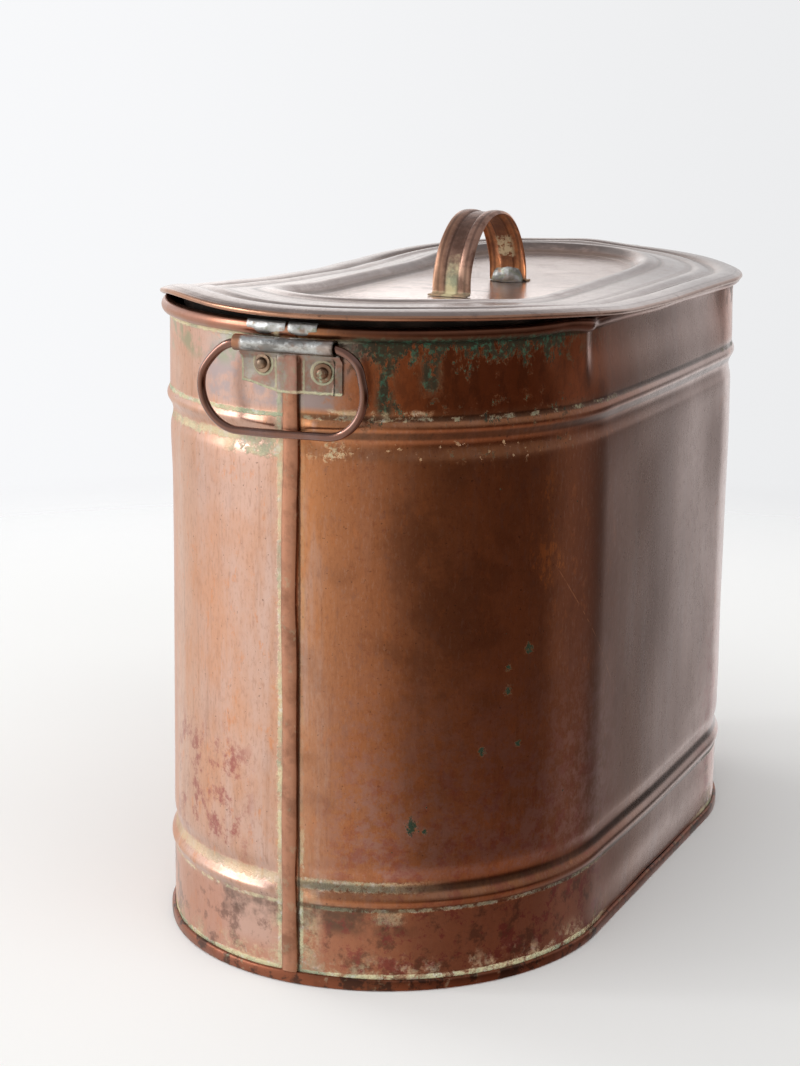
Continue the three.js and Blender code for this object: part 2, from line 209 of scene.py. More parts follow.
# ---- meshes ---------------------------------------------------------------
def normals_of(grid, closed_u):
    along_u = np.roll(grid, -1, 0) - np.roll(grid, 1, 0) if closed_u else np.gradient(grid, axis=0)
    n = np.cross(along_u, np.gradient(grid, axis=1))
    return n / np.maximum(np.linalg.norm(n, axis=-1, keepdims=True), 1e-9)


def quads(nu, nv, closed_u, closed_v, base=0, flip=False):
    i = np.arange(nu if closed_u else nu - 1)[:, None]
    j = np.arange(nv if closed_v else nv - 1)[None, :]
    next_i, next_j = (i + 1) % nu, (j + 1) % nv
    f = np.stack([i * nv + j, next_i * nv + j, next_i * nv + next_j, i * nv + next_j], -1).reshape(-1, 4) + base
    return f[:, ::-1] if flip else f


def between(outer, inner, closed_u=False):
    """Points and faces of the closed sheet between two grids, their edges joined by strips."""
    nu, nv = outer.shape[:2]
    count = nu * nv
    faces = [quads(nu, nv, closed_u, False), quads(nu, nv, closed_u, False, count, True)]

    def strip(edge, flip):
        a, b = edge[:-1], edge[1:]
        f = np.stack([a, a + count, b + count, b], -1)
        faces.append(f[:, ::-1] if flip else f)

    rows, cols = np.arange(nu), np.arange(nv)
    if closed_u:
        rows = np.append(rows, 0)
    strip(rows * nv, False)
    strip(rows * nv + nv - 1, True)
    if not closed_u:
        strip(cols, True)
        strip(cols + (nu - 1) * nv, False)
    return np.concatenate([outer.reshape(-1, 3), inner.reshape(-1, 3)]), np.concatenate(faces)


def between_discs(outer, inner, middles):
    """The same for two grids closed round, each filled in with a fan about its own middle point."""
    nu, nv = outer.shape[:2]
    count = nu * nv
    first = np.arange(nu) * nv
    after = np.roll(first, -1)
    last, after_last = first + nv - 1, after + nv - 1
    faces = [*quads(nu, nv, True, False), *quads(nu, nv, True, False, count, True)]
    faces += [*np.stack([last + count, after_last + count, after_last, last], -1)]
    faces += zip(after, first, np.full(nu, 2 * count))
    faces += zip(first + count, after + count, np.full(nu, 2 * count + 1))
    return np.concatenate([outer.reshape(-1, 3), inner.reshape(-1, 3), middles]), faces


SHARP_ANGLE = math.radians(42)


def make(name, verts, faces, body, slot, material, replaces, attribute=None):
    """A named piece from points in mm and faces, riding on a body."""
    me = bpy.data.meshes.new(name)
    me.from_pydata((np.asarray(verts) * MM).tolist(), [], [list(map(int, f)) for f in faces])
    me.validate()
    me.update()
    co = np.array([v.co for v in me.vertices])
    me.calc_loop_triangles()
    tri = np.array([t.vertices for t in me.loop_triangles])
    a, b, c = co[tri[:, 0]], co[tri[:, 1]], co[tri[:, 2]]
    if np.einsum("ij,ij->", a, np.cross(b, c)) < 0:
        me.flip_normals()
    me.shade_smooth()
    me.set_sharp_from_angle(angle=SHARP_ANGLE)
    if attribute is not None:
        store = me.attributes.new("span", "FLOAT", "POINT")
        store.data.foreach_set("value", np.asarray(attribute, np.float32))
    piece = bpy.data.objects.new(name, me)
    bpy.context.scene.collection.objects.link(piece)
    me.materials.append(material)
    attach(piece, body)
    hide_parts(*replaces)


def shell(name, grid, thickness, body, slot, material, replaces, closed_u=False, attribute=None):
    inner = grid - normals_of(grid, closed_u) * thickness
    make(name, *between(grid, inner, closed_u), body, slot, material, replaces, attribute)


def loop_tube(name, grid, body, slot, material, replaces):
    """A tube closed on itself, from a grid that is closed both ways."""
    nu, nv = grid.shape[:2]
    make(name, grid.reshape(-1, 3), quads(nu, nv, True, True), body, slot, material, replaces)


def capped_tube(grid):
    """Points and faces of a tube with a flat cap on each end."""
    nu, nv = grid.shape[:2]
    verts = np.concatenate([grid.reshape(-1, 3), grid[:1].mean(1), grid[-1:].mean(1)])
    j = np.arange(nv)
    k = (j + 1) % nv
    top = (nu - 1) * nv
    faces = [*quads(nu, nv, False, True)]
    faces += zip(j, k, np.full(nv, nu * nv))
    faces += zip(k + top, j + top, np.full(nv, nu * nv + 1))
    return verts, faces


# ---- node materials -------------------------------------------------------
class Value:
    """A number in a node tree, so that masks can be written as sums and products."""

    def __init__(self, nodes, socket):
        self.nodes, self.socket = nodes, socket

    def __add__(self, o):
        return self.nodes.math("ADD", self, o)

    def __sub__(self, o):
        return self.nodes.math("SUBTRACT", self, o)

    def __rsub__(self, o):
        return self.nodes.math("SUBTRACT", o, self)

    def __mul__(self, o):
        return self.nodes.math("MULTIPLY", self, o)

    __radd__ = __add__
    __rmul__ = __mul__

    def size(self):
        return self.nodes.math("ABSOLUTE", self, None)

    def over(self, o):
        return self.nodes.math("MAXIMUM", self, o)

    def step(self, low, high):
        """0 at low, 1 at high, with soft ends."""
        n = self.nodes.new("ShaderNodeMapRange", interpolation_type="SMOOTHSTEP")
        self.nodes.feed(n.inputs["Value"], self)
        values = (low, high, 0, 1) if low < high else (high, low, 1, 0)
        for key, v in zip(("From Min", "From Max", "To Min", "To Max"), values):
            n.inputs[key].default_value = v
        return Value(self.nodes, n.outputs["Result"])

    def near(self, centre, half, soft):
        """1 within half of centre, fading out over soft."""
        return (self - centre).size().step(half + soft, half)


def most(first, *others):
    """The largest of several values."""
    for other in others:
        first = first.over(other)
    return first


class Nodes:
    """A node tree, with short ways to write sums and mixes in it."""

    def __init__(self, tree):
        self.tree = tree

    def new(self, kind, **settings):
        n = self.tree.nodes.new(kind)
        for key, v in settings.items():
            setattr(n, key, v)
        return n

    def feed(self, socket, v):
        """A value, a colour or a number into a socket."""
        if isinstance(v, Value):
            self.tree.links.new(v.socket, socket)
        elif isinstance(v, tuple):
            socket.default_value = (*v, 1)
        elif v is not None:
            socket.default_value = v

    def math(self, operation, a, b):
        n = self.new("ShaderNodeMath", operation=operation)
        self.feed(n.inputs[0], a)
        self.feed(n.inputs[1], b)
        return Value(self, n.outputs[0])

    def mix(self, share, a, b):
        """Colour a, turning to b where share is 1."""
        n = self.new("ShaderNodeMix", data_type="RGBA", clamp_factor=True)
        for socket, v in ((n.inputs["Factor"], share), (n.inputs[6], a), (n.inputs[7], b)):
            self.feed(socket, v)
        return Value(self, n.outputs[2])


class Paint(Nodes):
    """A material whose colour, metal share, roughness and bump are sums over object space, in mm."""

    def __init__(self, name):
        self.material = bpy.data.materials.new(name)
        self.material.use_nodes = True
        super().__init__(self.material.node_tree)
        self.bsdf = self.tree.nodes["Principled BSDF"]
        coord = self.new("ShaderNodeTexCoord").outputs["Object"]
        scale = self.new("ShaderNodeVectorMath", operation="SCALE")
        self.tree.links.new(coord, scale.inputs[0])
        scale.inputs["Scale"].default_value = 1 / MM
        self.place = scale.outputs[0]
        split = self.new("ShaderNodeSeparateXYZ")
        self.tree.links.new(self.place, split.inputs[0])
        self.x, self.y, self.z = (Value(self, s) for s in split.outputs)

    def attribute(self, name):
        return Value(self, self.new("ShaderNodeAttribute", attribute_name=name).outputs["Fac"])

    def noise(self, size, seed, detail=3.0, rough=0.55, up=1, across=1):
        """Noise about 0.5, with features about `size` mm across; up and across divide the size that way."""
        spread = self.new("ShaderNodeVectorMath", operation="MULTIPLY_ADD")
        self.tree.links.new(self.place, spread.inputs[0])
        spread.inputs[1].default_value = (across / size, 1 / size, up / size)
        spread.inputs[2].default_value = (seed * 7.31, seed * 3.77, seed * 5.19)
        n = self.new("ShaderNodeTexNoise")
        self.tree.links.new(spread.outputs[0], n.inputs["Vector"])
        for key, v in (("Scale", 1.0), ("Detail", detail), ("Roughness", rough)):
            n.inputs[key].default_value = v
        return Value(self, n.outputs["Fac"])

    def lines(self, value, size, seed, detail=3.0):
        """Noise along one value only, about 0.5."""
        n = self.new("ShaderNodeTexNoise", noise_dimensions="1D")
        self.feed(n.inputs["W"], value * (1 / size) + seed * 9.1)
        n.inputs["Scale"].default_value = 1.0
        n.inputs["Detail"].default_value = detail
        return Value(self, n.outputs["Fac"])

    def stain(self, share, color):
        """Lays a colour over the paint's own where share is 1."""
        self.color = self.mix(share, self.color, color)

    def finish(self, metal, roughness, relief=None, depth=0.2, coat=0.0, coat_roughness=0.3):
        for key, v in (("Base Color", self.color), ("Metallic", metal), ("Roughness", roughness),
                       ("Specular IOR Level", 0.15), ("Coat Weight", coat), ("Coat Roughness", coat_roughness)):
            self.feed(self.bsdf.inputs[key], v)
        if relief is not None:
            n = self.new("ShaderNodeBump")
            n.inputs["Strength"].default_value = 1.0
            n.inputs["Distance"].default_value = depth * MM
            self.feed(n.inputs["Height"], relief)
            self.tree.links.new(n.outputs["Normal"], self.bsdf.inputs["Normal"])
        return self.material


# colours of copper, of what lies on it and of tin
ORANGE = (0.70, 0.31, 0.14)
COPPER = (0.62, 0.31, 0.18)
ROSE = (0.68, 0.48, 0.41)
BROWN = (0.50, 0.20, 0.09)
MAUVE = (0.50, 0.38, 0.35)
GREY_MAUVE = (0.44, 0.35, 0.34)
STAIN_RED = (0.35, 0.085, 0.08)
DEEP_BROWN = (0.19, 0.075, 0.04)
# near-black, used both for soot and for painted shade lines
SOOT_AND_SHADE = (0.035, 0.03, 0.022)
CREAM = (0.62, 0.56, 0.34)
CHALK = (0.64, 0.64, 0.56)
PALE_GREEN = (0.33, 0.36, 0.24)
VERDIGRIS = (0.0, 0.06, 0.038)
TIN = (0.60, 0.61, 0.60)
DULL_TIN = (0.26, 0.26, 0.25)

# where each rivet sits on its plate: (across, height), in mm
RIVETS = {"left": (-15.7, 347.6), "right": (19.0, 344.6)}
PLATE_LOW = 333.0
PLATE_RISE = 4.0


def copper_ground(p):
    """Patinated copper: broad tone changes, upright wipe streaks and fine mottling."""
    broad = p.noise(85, 1, 2, up=0.45)
    streak = p.noise(16, 2, 4, 0.6, up=0.1)
    mottle = p.noise(7, 3, 5, 0.65)
    p.color = p.mix(broad.step(0.4, 0.62), COPPER, ORANGE)
    p.stain(streak.step(0.5, 0.68) * 0.7, ROSE)
    p.stain(mottle.step(0.5, 0.72) * 0.35, BROWN)
    return broad, mottle


# verdigris spots on the near end: (across, height, radius), in mm
SPOTS = [(65, 95, 3.5), (95, 135, 2), (105, 181, 1.5), (105, 168, 2), (109, 137, 1.5), (112, 190, 2), (71, 92, 1.5)]


def body_material():
    """Copper of the walls, placed by where each mark lies: across (x), along (y) and up (z)."""
    p = Paint("body_copper")
    x, y, z = p.x, p.y, p.z
    broad, mottle = copper_ground(p)
    front = y.size().step(60, 130)
    beside = y.step(-115, -5) * x.step(60, 100)
    turning = y.step(-195, -130) * y.step(0, -90) * x.step(60, 100)
    right = x.step(4, 44) * front
    left = x.step(4, -6)
    patch = p.noise(28, 4, 5, 0.6)
    fine = p.noise(3.2, 5, 4, 0.7)
    crumb = p.noise(1.6, 6, 2)
    wipe = p.noise(5, 17, 4, 0.7, up=0.05)
    # paler and pinker left of the seam, browner to the right of it, greyer on the flat side
    rosy = p.noise(26, 18, 5, 0.65, up=0.5).step(0.36, 0.62)
    p.stain(left * front * x.step(-112, -84) * (0.35 + 0.35 * rosy), ROSE)
    p.stain(right * 0.8, BROWN)
    p.stain(turning * 0.8, (0.27, 0.105, 0.06))
    p.stain(x.step(-92, -112) * front * 0.85, (0.52, 0.19, 0.085))
    p.stain(x.step(-100, -122) * y.size().step(170, 100) * 0.7, (0.42, 0.24, 0.18))
    p.stain(beside * 0.85, MAUVE)
    # dark blooms and fine tarnish
    bloom = x.near(80, 6, 48) * z.near(228, 26, 90) * front
    cloudy = (0.24 + 0.26 * bloom) * (1 - 0.5 * beside) * (1 - 0.65 * left * front)
    p.stain((patch + bloom * 0.1).step(0.48, 0.7) * cloudy, DEEP_BROWN)
    p.stain(fine.step(0.52, 0.72) * 0.4 * right, (0.30, 0.09, 0.05))
    p.stain(wipe.step(0.54, 0.72) * 0.2, DEEP_BROWN)
    grain = p.noise(1.7, 29, 3, 0.7, up=0.35)
    p.stain(grain.step(0.5, 0.7) * 0.28, (0.30, 0.13, 0.08))
    p.stain(grain.step(0.46, 0.3) * 0.2, ROSE)
    flame = p.noise(8, 35, 6, 0.72, up=0.5)
    pits = p.noise(2.1, 42, 2).step(0.69, 0.74)
    p.stain(pits * 0.55, (0.10, 0.05, 0.035))
    scratch = ((z + 1.19 * y).near(39.1, 0.15, 0.5) * y.near(-130, 28, 10) * x.step(60, 100)
               * p.noise(6, 43).step(0.45, 0.55))
    p.stain(scratch * 0.6, (0.85, 0.42, 0.22))
    p.stain(flame.step(0.56, 0.68) * (0.3 + 0.22 * left) * front, (0.72, 0.27, 0.10))
    p.stain(flame.step(0.44, 0.34) * (0.3 - 0.15 * left) * front, (0.33, 0.19, 0.16))
    # painted highlight: a bright orange upright streak near the right corner, where the wall catches the light
    painted_glint = (x + (patch - 0.5) * 26).near(116, 1, 5) * z.step(200, 225) * z.step(300, 270) * flame.step(0.5, 0.6)
    p.stain(painted_glint * front * 0.55, (0.95, 0.36, 0.11))
    p.stain(right * z.step(215, 90) * z.step(62, 66) * p.noise(9, 38, 6, 0.75).step(0.42, 0.6) * 0.8,
            (0.50, 0.28, 0.24))
    # red-purple stains, low on the left and along the foot, and a painted pink reflection on the foot left of the
    # seam
    low_left = z.near(100, 22, 26) * x.near(-62, 22, 22) * front
    low_right = z.step(170, 80) * right * 0.8
    ragged_red = p.noise(13, 7, 6, 0.75)
    p.stain((low_left + low_right * 0.75) * ragged_red.step(0.48, 0.62) * 0.75, STAIN_RED)
    foot = z.step(48, 42) * front
    p.stain(foot * 0.6, (0.55, 0.25, 0.17))
    # painted reflection: a pinkish sheen on the foot left of the seam, laid on as rose colour
    p.stain(foot * x.near(-24, 6, 22) * z.step(12, 24) * 0.6, ROSE)
    sooty = z.near(40, 3, 9) * x.near(-20, 24, 16).over(x.near(30, 26, 20)) * front
    p.stain(sooty * patch.step(0.4, 0.56) * 0.75, (0.10, 0.08, 0.065))
    p.stain(foot * p.noise(17, 19, 6, 0.7).step(0.5, 0.62) * 0.65, (0.15, 0.08, 0.06))
    p.stain(foot * right * ragged_red.step(0.52, 0.6) * 0.7, STAIN_RED)
    # upper band: deep red-brown right of the handle, mauve-grey round it
    band = z.step(322, 327) * front
    p.stain(band * x.step(24, 50) * 0.8, (0.42, 0.125, 0.045))
    p.stain(band * x.step(20, 50) * flame.step(0.46, 0.62) * 0.5, (0.20, 0.075, 0.04))
    p.stain(z.step(359.5, 361) * front * x.step(8, 40) * 0.75, (0.13, 0.055, 0.035))
    p.stain(z.step(362.5, 364) * front * x.step(20, -10) * 0.75, (0.36, 0.14, 0.085))
    tinned = z.step(349, 354) * z.step(362.5, 361) * x.near(-8, 34, 22) * front
    p.stain(tinned * p.noise(15, 39, 5, 0.65, up=1.6).step(0.36, 0.52) * 0.85, (0.46, 0.46, 0.42))
    haze = p.noise(17, 13, 5, 0.6)
    smear = band * z.step(362, 352) * (x + (patch - 0.5) * 40).near(-18, 34, 20)
    p.stain(smear * (0.25 + 0.75 * haze.step(0.4, 0.56)), GREY_MAUVE)
    p.stain(band * z.near(354, 4, 9) * x.step(-6, -20) * haze.step(0.46, 0.6) * 0.8, PALE_GREEN)
    # soot and green below the rim, running down in ragged streaks
    span = x.step(22, 42) * x.step(132, 118) * front
    run = p.noise(7, 8, 6, 0.8, up=0.55)
    drip = z.step(362, 356) * front * run.step(0.4, 0.5)
    dark = span * z.step(322, 330) * z.step(366, 362) * (run + (z - 345) * 0.011).step(0.56, 0.62)
    dark = most(dark, x.near(50, 1.5, 5) * z.step(318, 326) * drip, x.near(71, 2, 5) * z.step(331, 338) * drip)
    low_run = p.noise(5, 27, 5, 0.75, up=0.7)
    dark = most(dark, span * z.near(324, 4, 9) * low_run.step(0.56, 0.64),
                span * z.near(302, 3, 8) * x.step(60, 90) * low_run.step(0.58, 0.66) * 0.8)
    p.stain(dark * 0.9, p.mix(fine.step(0.5, 0.62), (0.02, 0.035, 0.022), (0.03, 0.14, 0.09)))
    # deposits: grey and cream crusts along the beads, the seam, the foot and below the rim
    shaky = (fine - 0.5) * 7 + (patch - 0.5) * 6
    broken = p.noise(11, 9, 5, 0.7)
    flecks = p.noise(3, 46, 4, 0.7).step(0.46, 0.56)
    cove = most((z + shaky).near(305.5, 1.5, 1.6) * left * broken.step(0.34, 0.46) * 0.9,
                (z + shaky).near(302.5, 4.0, 2.5) * x.near(-20, 14, 16) * left * broken.step(0.4, 0.5),
                (z + shaky).near(303, 3.5, 2.5) * x.near(18, 9, 9) * broken.step(0.44, 0.58) * flecks * 0.8)
    dots = p.noise(4, 28, 3).step(0.64, 0.68) * z.near(303, 4, 3) * x.near(75, 38, 20)
    above = (z + (fine - 0.5) * 3).near(320.6, 0.6, 1.0) * (left + 0.9 * broken.step(0.47, 0.56))
    gutter = (z + (fine - 0.5) * 4).near(322.5, 1.5, 2) * x.near(44, 22, 10) * broken.step(0.5, 0.58)
    ragged = (fine - 0.5) * 3.4 + (patch - 0.5) * 4
    seam_left = (x + ragged).near(-6.4, 0.9, 1.2) * (0.55 + 0.45 * broken.step(0.38, 0.56))
    seam_right = (x + ragged).near(7, 0.6, 1.4) * (0.2 + 0.9 * z.step(120, 40)) * broken.step(0.34, 0.52)
    seam_foot = most((x + shaky).near(11, 3, 7) * z.step(85, 15) * broken.step(0.38, 0.56) * 0.6,
                     (x + shaky * 0.6).near(-7, 1, 2) * broken.step(0.48, 0.6) * 0.5,
                     (x + shaky).near(-9, 2, 5) * z.step(45, 15) * broken.step(0.4, 0.56) * 0.6)
    low_line = (z + (fine - 0.5) * 3).near(46.4, 0.6, 1.0) * 0.8 * broken.step(0.42, 0.52)
    low_groove = (z + (fine - 0.5) * 5).near(59.5, 2.0, 1.8) * (x.step(90, 40) * x.step(2, 6) + left * 0.7)
    low_patch = (z + shaky * 0.7).near(42, 2.5, 3) * (x + shaky * 1.4).near(54, 4, 5) * 0.45
    hem = (z + ragged * 0.8).step(9.4, 8.0) * (0.35 + broken.step(0.36, 0.52))
    hem_haze = (z + shaky * 1.5).step(24, 9) * broken.step(0.46, 0.6) * 0.6
    rim = (z + (fine - 0.5) * 2.4).near(361.6, 0.7, 1.0) * x.step(46, 14)
    crust = most(cove, above, seam_left, seam_right, low_line, low_groove * 0.8, low_patch, hem, hem_haze, rim,
                 gutter * 0.6, dots * 0.5, seam_foot)
    crust = crust * front * (0.35 + 0.65 * (crumb * 0.5 + fine * 0.7).step(0.40, 0.62))
    tone = p.mix(patch.step(0.42, 0.6), CREAM, PALE_GREEN)
    tone = p.mix(p.noise(5, 12).step(0.55, 0.7) * 0.7, tone, CHALK)
    p.stain(crust * 0.85, tone)
    # verdigris spots
    spots = []
    ragged_edge = p.noise(1.4, 45, 4, 0.7) - 0.5
    for across, height, radius in SPOTS:
        dx = (x - across) * 1.35 + ragged_edge * radius * 4
        dz = (z - height) * 0.65 + (fine - 0.5) * radius * 3
        spots.append((dx * dx + dz * dz).step(radius * radius * 1.2, radius * radius * 0.3))
    speck = most(*spots, p.noise(3.4, 14, 2).step(0.76, 0.79) * x.step(20, 60)) * front
    p.stain(speck * 0.9, VERDIGRIS)
    # painted shade: dark lines where the side's beads fold
    fold = z.near(311.5, 1.2, 1.8) + z.near(321, 0.8, 1.4) + z.near(46.8, 0.8, 1.4) + z.near(58.5, 1, 2)
    p.stain(fold * (1 - left * front) * (0.35 + 0.5 * low_run), SOOT_AND_SHADE)
    # painted shadow: a dark line along the seam strip's sharp right edge
    p.stain((x + (fine - 0.5)).near(5.4, 0.3, 0.8) * front * 0.7, SOOT_AND_SHADE)
    inside = p.attribute("span")
    dull = p.mix(patch.step(0.4, 0.62), (0.30, 0.20, 0.15), (0.17, 0.105, 0.075))
    dull = p.mix(p.noise(6, 44, 5, 0.7, up=0.4).step(0.5, 0.66) * 0.6, dull, (0.34, 0.31, 0.27))
    p.stain(inside, dull)
    dirt = crust.over(dark).over(speck) * (1 - inside)
    metal = 1 - crust.over(speck * 0.3).over(dark * 0.35) * 0.9 * (1 - inside) - inside * 0.25
    rough = (inside * 0.16 + 0.17 + 0.12 * mottle + 0.08 * patch + 0.08 * grain + dirt * 0.35 + smear * 0.08
             - beside * 0.05)
    relief = mottle * (0.16 - 0.13 * beside) + fine * (0.12 - 0.09 * beside) * (1 + 2 * dirt)
    relief = relief + crust * crumb * 0.8 + broad * 1.2 + grain * (0.05 - 0.04 * beside)
    return p.finish(metal, rough, relief, 0.35, coat=0.2, coat_roughness=0.25)


def plain_copper(name, tint, seed, dark=0.0, rough=0.3, coat=0.3, gloss=0.25, soot=0.0, crust_share=0.3):
    """Copper for the smaller pieces: the same ground, darker or paler, with a little crust."""
    p = Paint(name)
    mottle = copper_ground(p)[1]
    p.stain(0.8, tint)
    patch = p.noise(18, seed, 5, 0.62)
    fine = p.noise(2.6, seed + 1, 4, 0.7)
    p.stain(patch.step(0.46, 0.66) * 0.5 + dark, DEEP_BROWN)
    p.stain(p.noise(12, seed + 3, 5, 0.7).step(0.5, 0.58) * soot, (0.06, 0.035, 0.028))
    crust = p.noise(8, seed + 2, 5, 0.7).step(0.58, 0.66) * crust_share
    p.stain(crust, PALE_GREEN)
    metal = 1 - crust * 0.8
    roughness = rough + 0.12 * fine + 0.1 * patch + crust * 0.25
    relief = fine * 0.25 + mottle * 0.2 + crust * 0.6
    return p.finish(metal, roughness, relief, 0.25, coat=coat, coat_roughness=gloss)


def lid_material():
    p = Paint("lid_copper")
    span = p.attribute("span")
    mottle = copper_ground(p)[1]
    # painted light: the lid and its beaded margin are lighter towards the near end and darker again at its tip
    painted_light = p.y.step(100, -90) * (1 - 0.8 * p.y.step(-175, -225))
    p.stain(0.88, p.mix(painted_light, (0.45, 0.385, 0.365), (0.94, 0.83, 0.79)))
    p.stain(span.step(-72, -58) * 0.85, p.mix(painted_light, (0.20, 0.16, 0.147), (0.38, 0.31, 0.285)))
    wipe = p.noise(14, 30, 7, 0.75, across=0.7)
    fine = p.noise(2.2, 31, 4, 0.7)
    cloud = p.noise(48, 32, 4, 0.55)
    round_lines = p.lines(span + (cloud - 0.5) * 8, 2.6, 34)
    p.stain(wipe.step(0.5, 0.66) * 0.4, (0.36, 0.27, 0.24))
    p.stain(fine.step(0.5, 0.7) * 0.3, (0.25, 0.17, 0.14))
    p.stain(cloud.step(0.48, 0.68) * 0.3, (0.66, 0.57, 0.53))
    p.stain(round_lines.step(0.5, 0.68) * cloud.step(0.35, 0.6) * span.step(-75, -55) * 0.55, (0.27, 0.18, 0.155))
    edge = (span + (fine - 0.5) * 1.5).step(-1, 5)
    p.stain(edge * 0.25, (0.44, 0.32, 0.28))
    p.stain((span + (fine - 0.5)).step(5.4, 6.6) * (0.35 + 0.4 * p.y.step(-150, -200)), (0.52, 0.25, 0.14))
    # painted shade: darker valleys between the lid's beads and dark lines in its grooves
    valley = (span.near(-12.5, 1.2, 3.0) + span.near(-28, 1.2, 3.4) + span.near(-47, 1.2, 3.2)
              + span.near(-66, 1.5, 3.5))
    p.stain(valley * (0.3 + 0.6 * cloud), (0.20, 0.125, 0.095))
    groove = span.near(-12, 0.5, 0.9) + span.near(-27, 0.5, 0.9) * 0.7 + span.near(-47, 0.5, 0.9)
    groove = groove + span.near(-65, 0.8, 1.4) * 0.9 + span.near(2.6, 0.4, 0.8) * 0.5
    p.stain(groove * (0.35 + 0.7 * fine), (0.10, 0.065, 0.05))
    blots = p.noise(12, 41, 6, 0.75).step(0.56, 0.66) * span.step(-70, -50)
    p.stain(blots * 0.5, (0.20, 0.13, 0.11))
    speck = p.noise(3.2, 33, 3).step(0.68, 0.73)
    p.stain(speck * 0.6, (0.15, 0.09, 0.07))
    rough = 0.12 + 0.14 * fine + 0.1 * wipe
    relief = fine * 0.22 + mottle * 0.15 + wipe * 0.2 + cloud * 0.8 + round_lines * 0.12
    metal = 0.94 - valley * 0.4 - groove * 0.3 - wipe.step(0.5, 0.66) * 0.2
    return p.finish(metal, rough, relief, 0.3, coat=0.06, coat_roughness=0.2)


def inner_material():
    """Near-black dull metal for the hidden band inside the mouth: painted shade for the dark gap under the lid's
    edge.
    """
    p = Paint("collar_painted_shade")
    patch = p.noise(20, 36, 5, 0.65)
    fine = p.noise(2.4, 37, 4)
    # painted shade: near-black, for the dark inside of the mouth
    p.color = p.mix(patch.step(0.45, 0.65), (0.022, 0.017, 0.014), (0.05, 0.032, 0.024))
    return p.finish(0.3, 0.62 + 0.25 * fine, fine, 0.15)


def bracket_material():
    """Green-grey plate with cream outlines, and a bare tinned tube above it."""
    p = Paint("plate_copper")
    x, y, z = p.x, p.y, p.z
    near = y.step(0, -1)
    across = x * (1 - 2 * near) * -1
    fine = p.noise(2.4, 86, 4, 0.7)
    patch = p.noise(11, 87, 5, 0.65)
    lump = p.noise(4, 88, 4)
    p.color = p.mix(patch.step(0.42, 0.6), (0.35, 0.31, 0.27), (0.38, 0.22, 0.17))
    p.stain(across.near(4, 3, 3) * 0.75, (0.44, 0.23, 0.17))
    p.stain(fine.step(0.5, 0.7) * 0.5, PALE_GREEN)
    shake = (fine - 0.5) * 2.2
    low_edge = PLATE_LOW + 0.8 + across.step(-4, -30) * PLATE_RISE
    outline = most((across + shake).near(-29.6, 0.4, 0.8), (z - low_edge + shake).near(0, 0.3, 0.8),
                   (across + shake).near(-7.8, 0.3, 0.7) * 0.8, (across + shake).near(8.6, 0.3, 0.7) * 0.8)
    for a, h in RIVETS.values():
        dx = across - a
        dz = z - h
        outline = outline.over((dx * dx + dz * dz + shake * 8).near(35, 5, 8) * 0.9)
    outline = outline * z.step(352, 350) * (0.35 + 0.65 * patch.step(0.36, 0.5))
    p.stain(outline * 0.85, p.mix(patch.step(0.4, 0.6), CREAM, PALE_GREEN))
    p.stain((across + shake * 0.5).near(25.6, 0.2, 0.6) * z.step(353, 351) * 0.9, SOOT_AND_SHADE)
    tube = (z + (fine - 0.5)).step(353.0, 354.0)
    bare = p.mix(p.noise(6, 89, 5, 0.65, across=0.5).step(0.42, 0.6) * 0.85, TIN, (0.20, 0.19, 0.18))
    bare = p.mix(patch.step(0.5, 0.62) * 0.6, bare, (0.34, 0.22, 0.17))
    bare = p.mix((across + shake).step(-23.5, -26), bare, (0.45, 0.22, 0.13))
    bare = p.mix((z + lump * 3).step(TUBE_Z + 1, TUBE_Z - 3) * 0.6, bare, (0.12, 0.12, 0.115))
    bare = p.mix((across + shake * 2).step(28, 29.2) * 0.8, bare, SOOT_AND_SHADE)
    p.stain(tube, bare)
    dull = outline * 0.8 * (1 - tube)
    rough = 0.3 + 0.18 * fine + 0.1 * patch + dull * 0.3 - tube * 0.14
    return p.finish(1 - dull, rough, fine * 0.35 + lump * 0.8 + outline * 0.5, 0.35, coat=0.15)


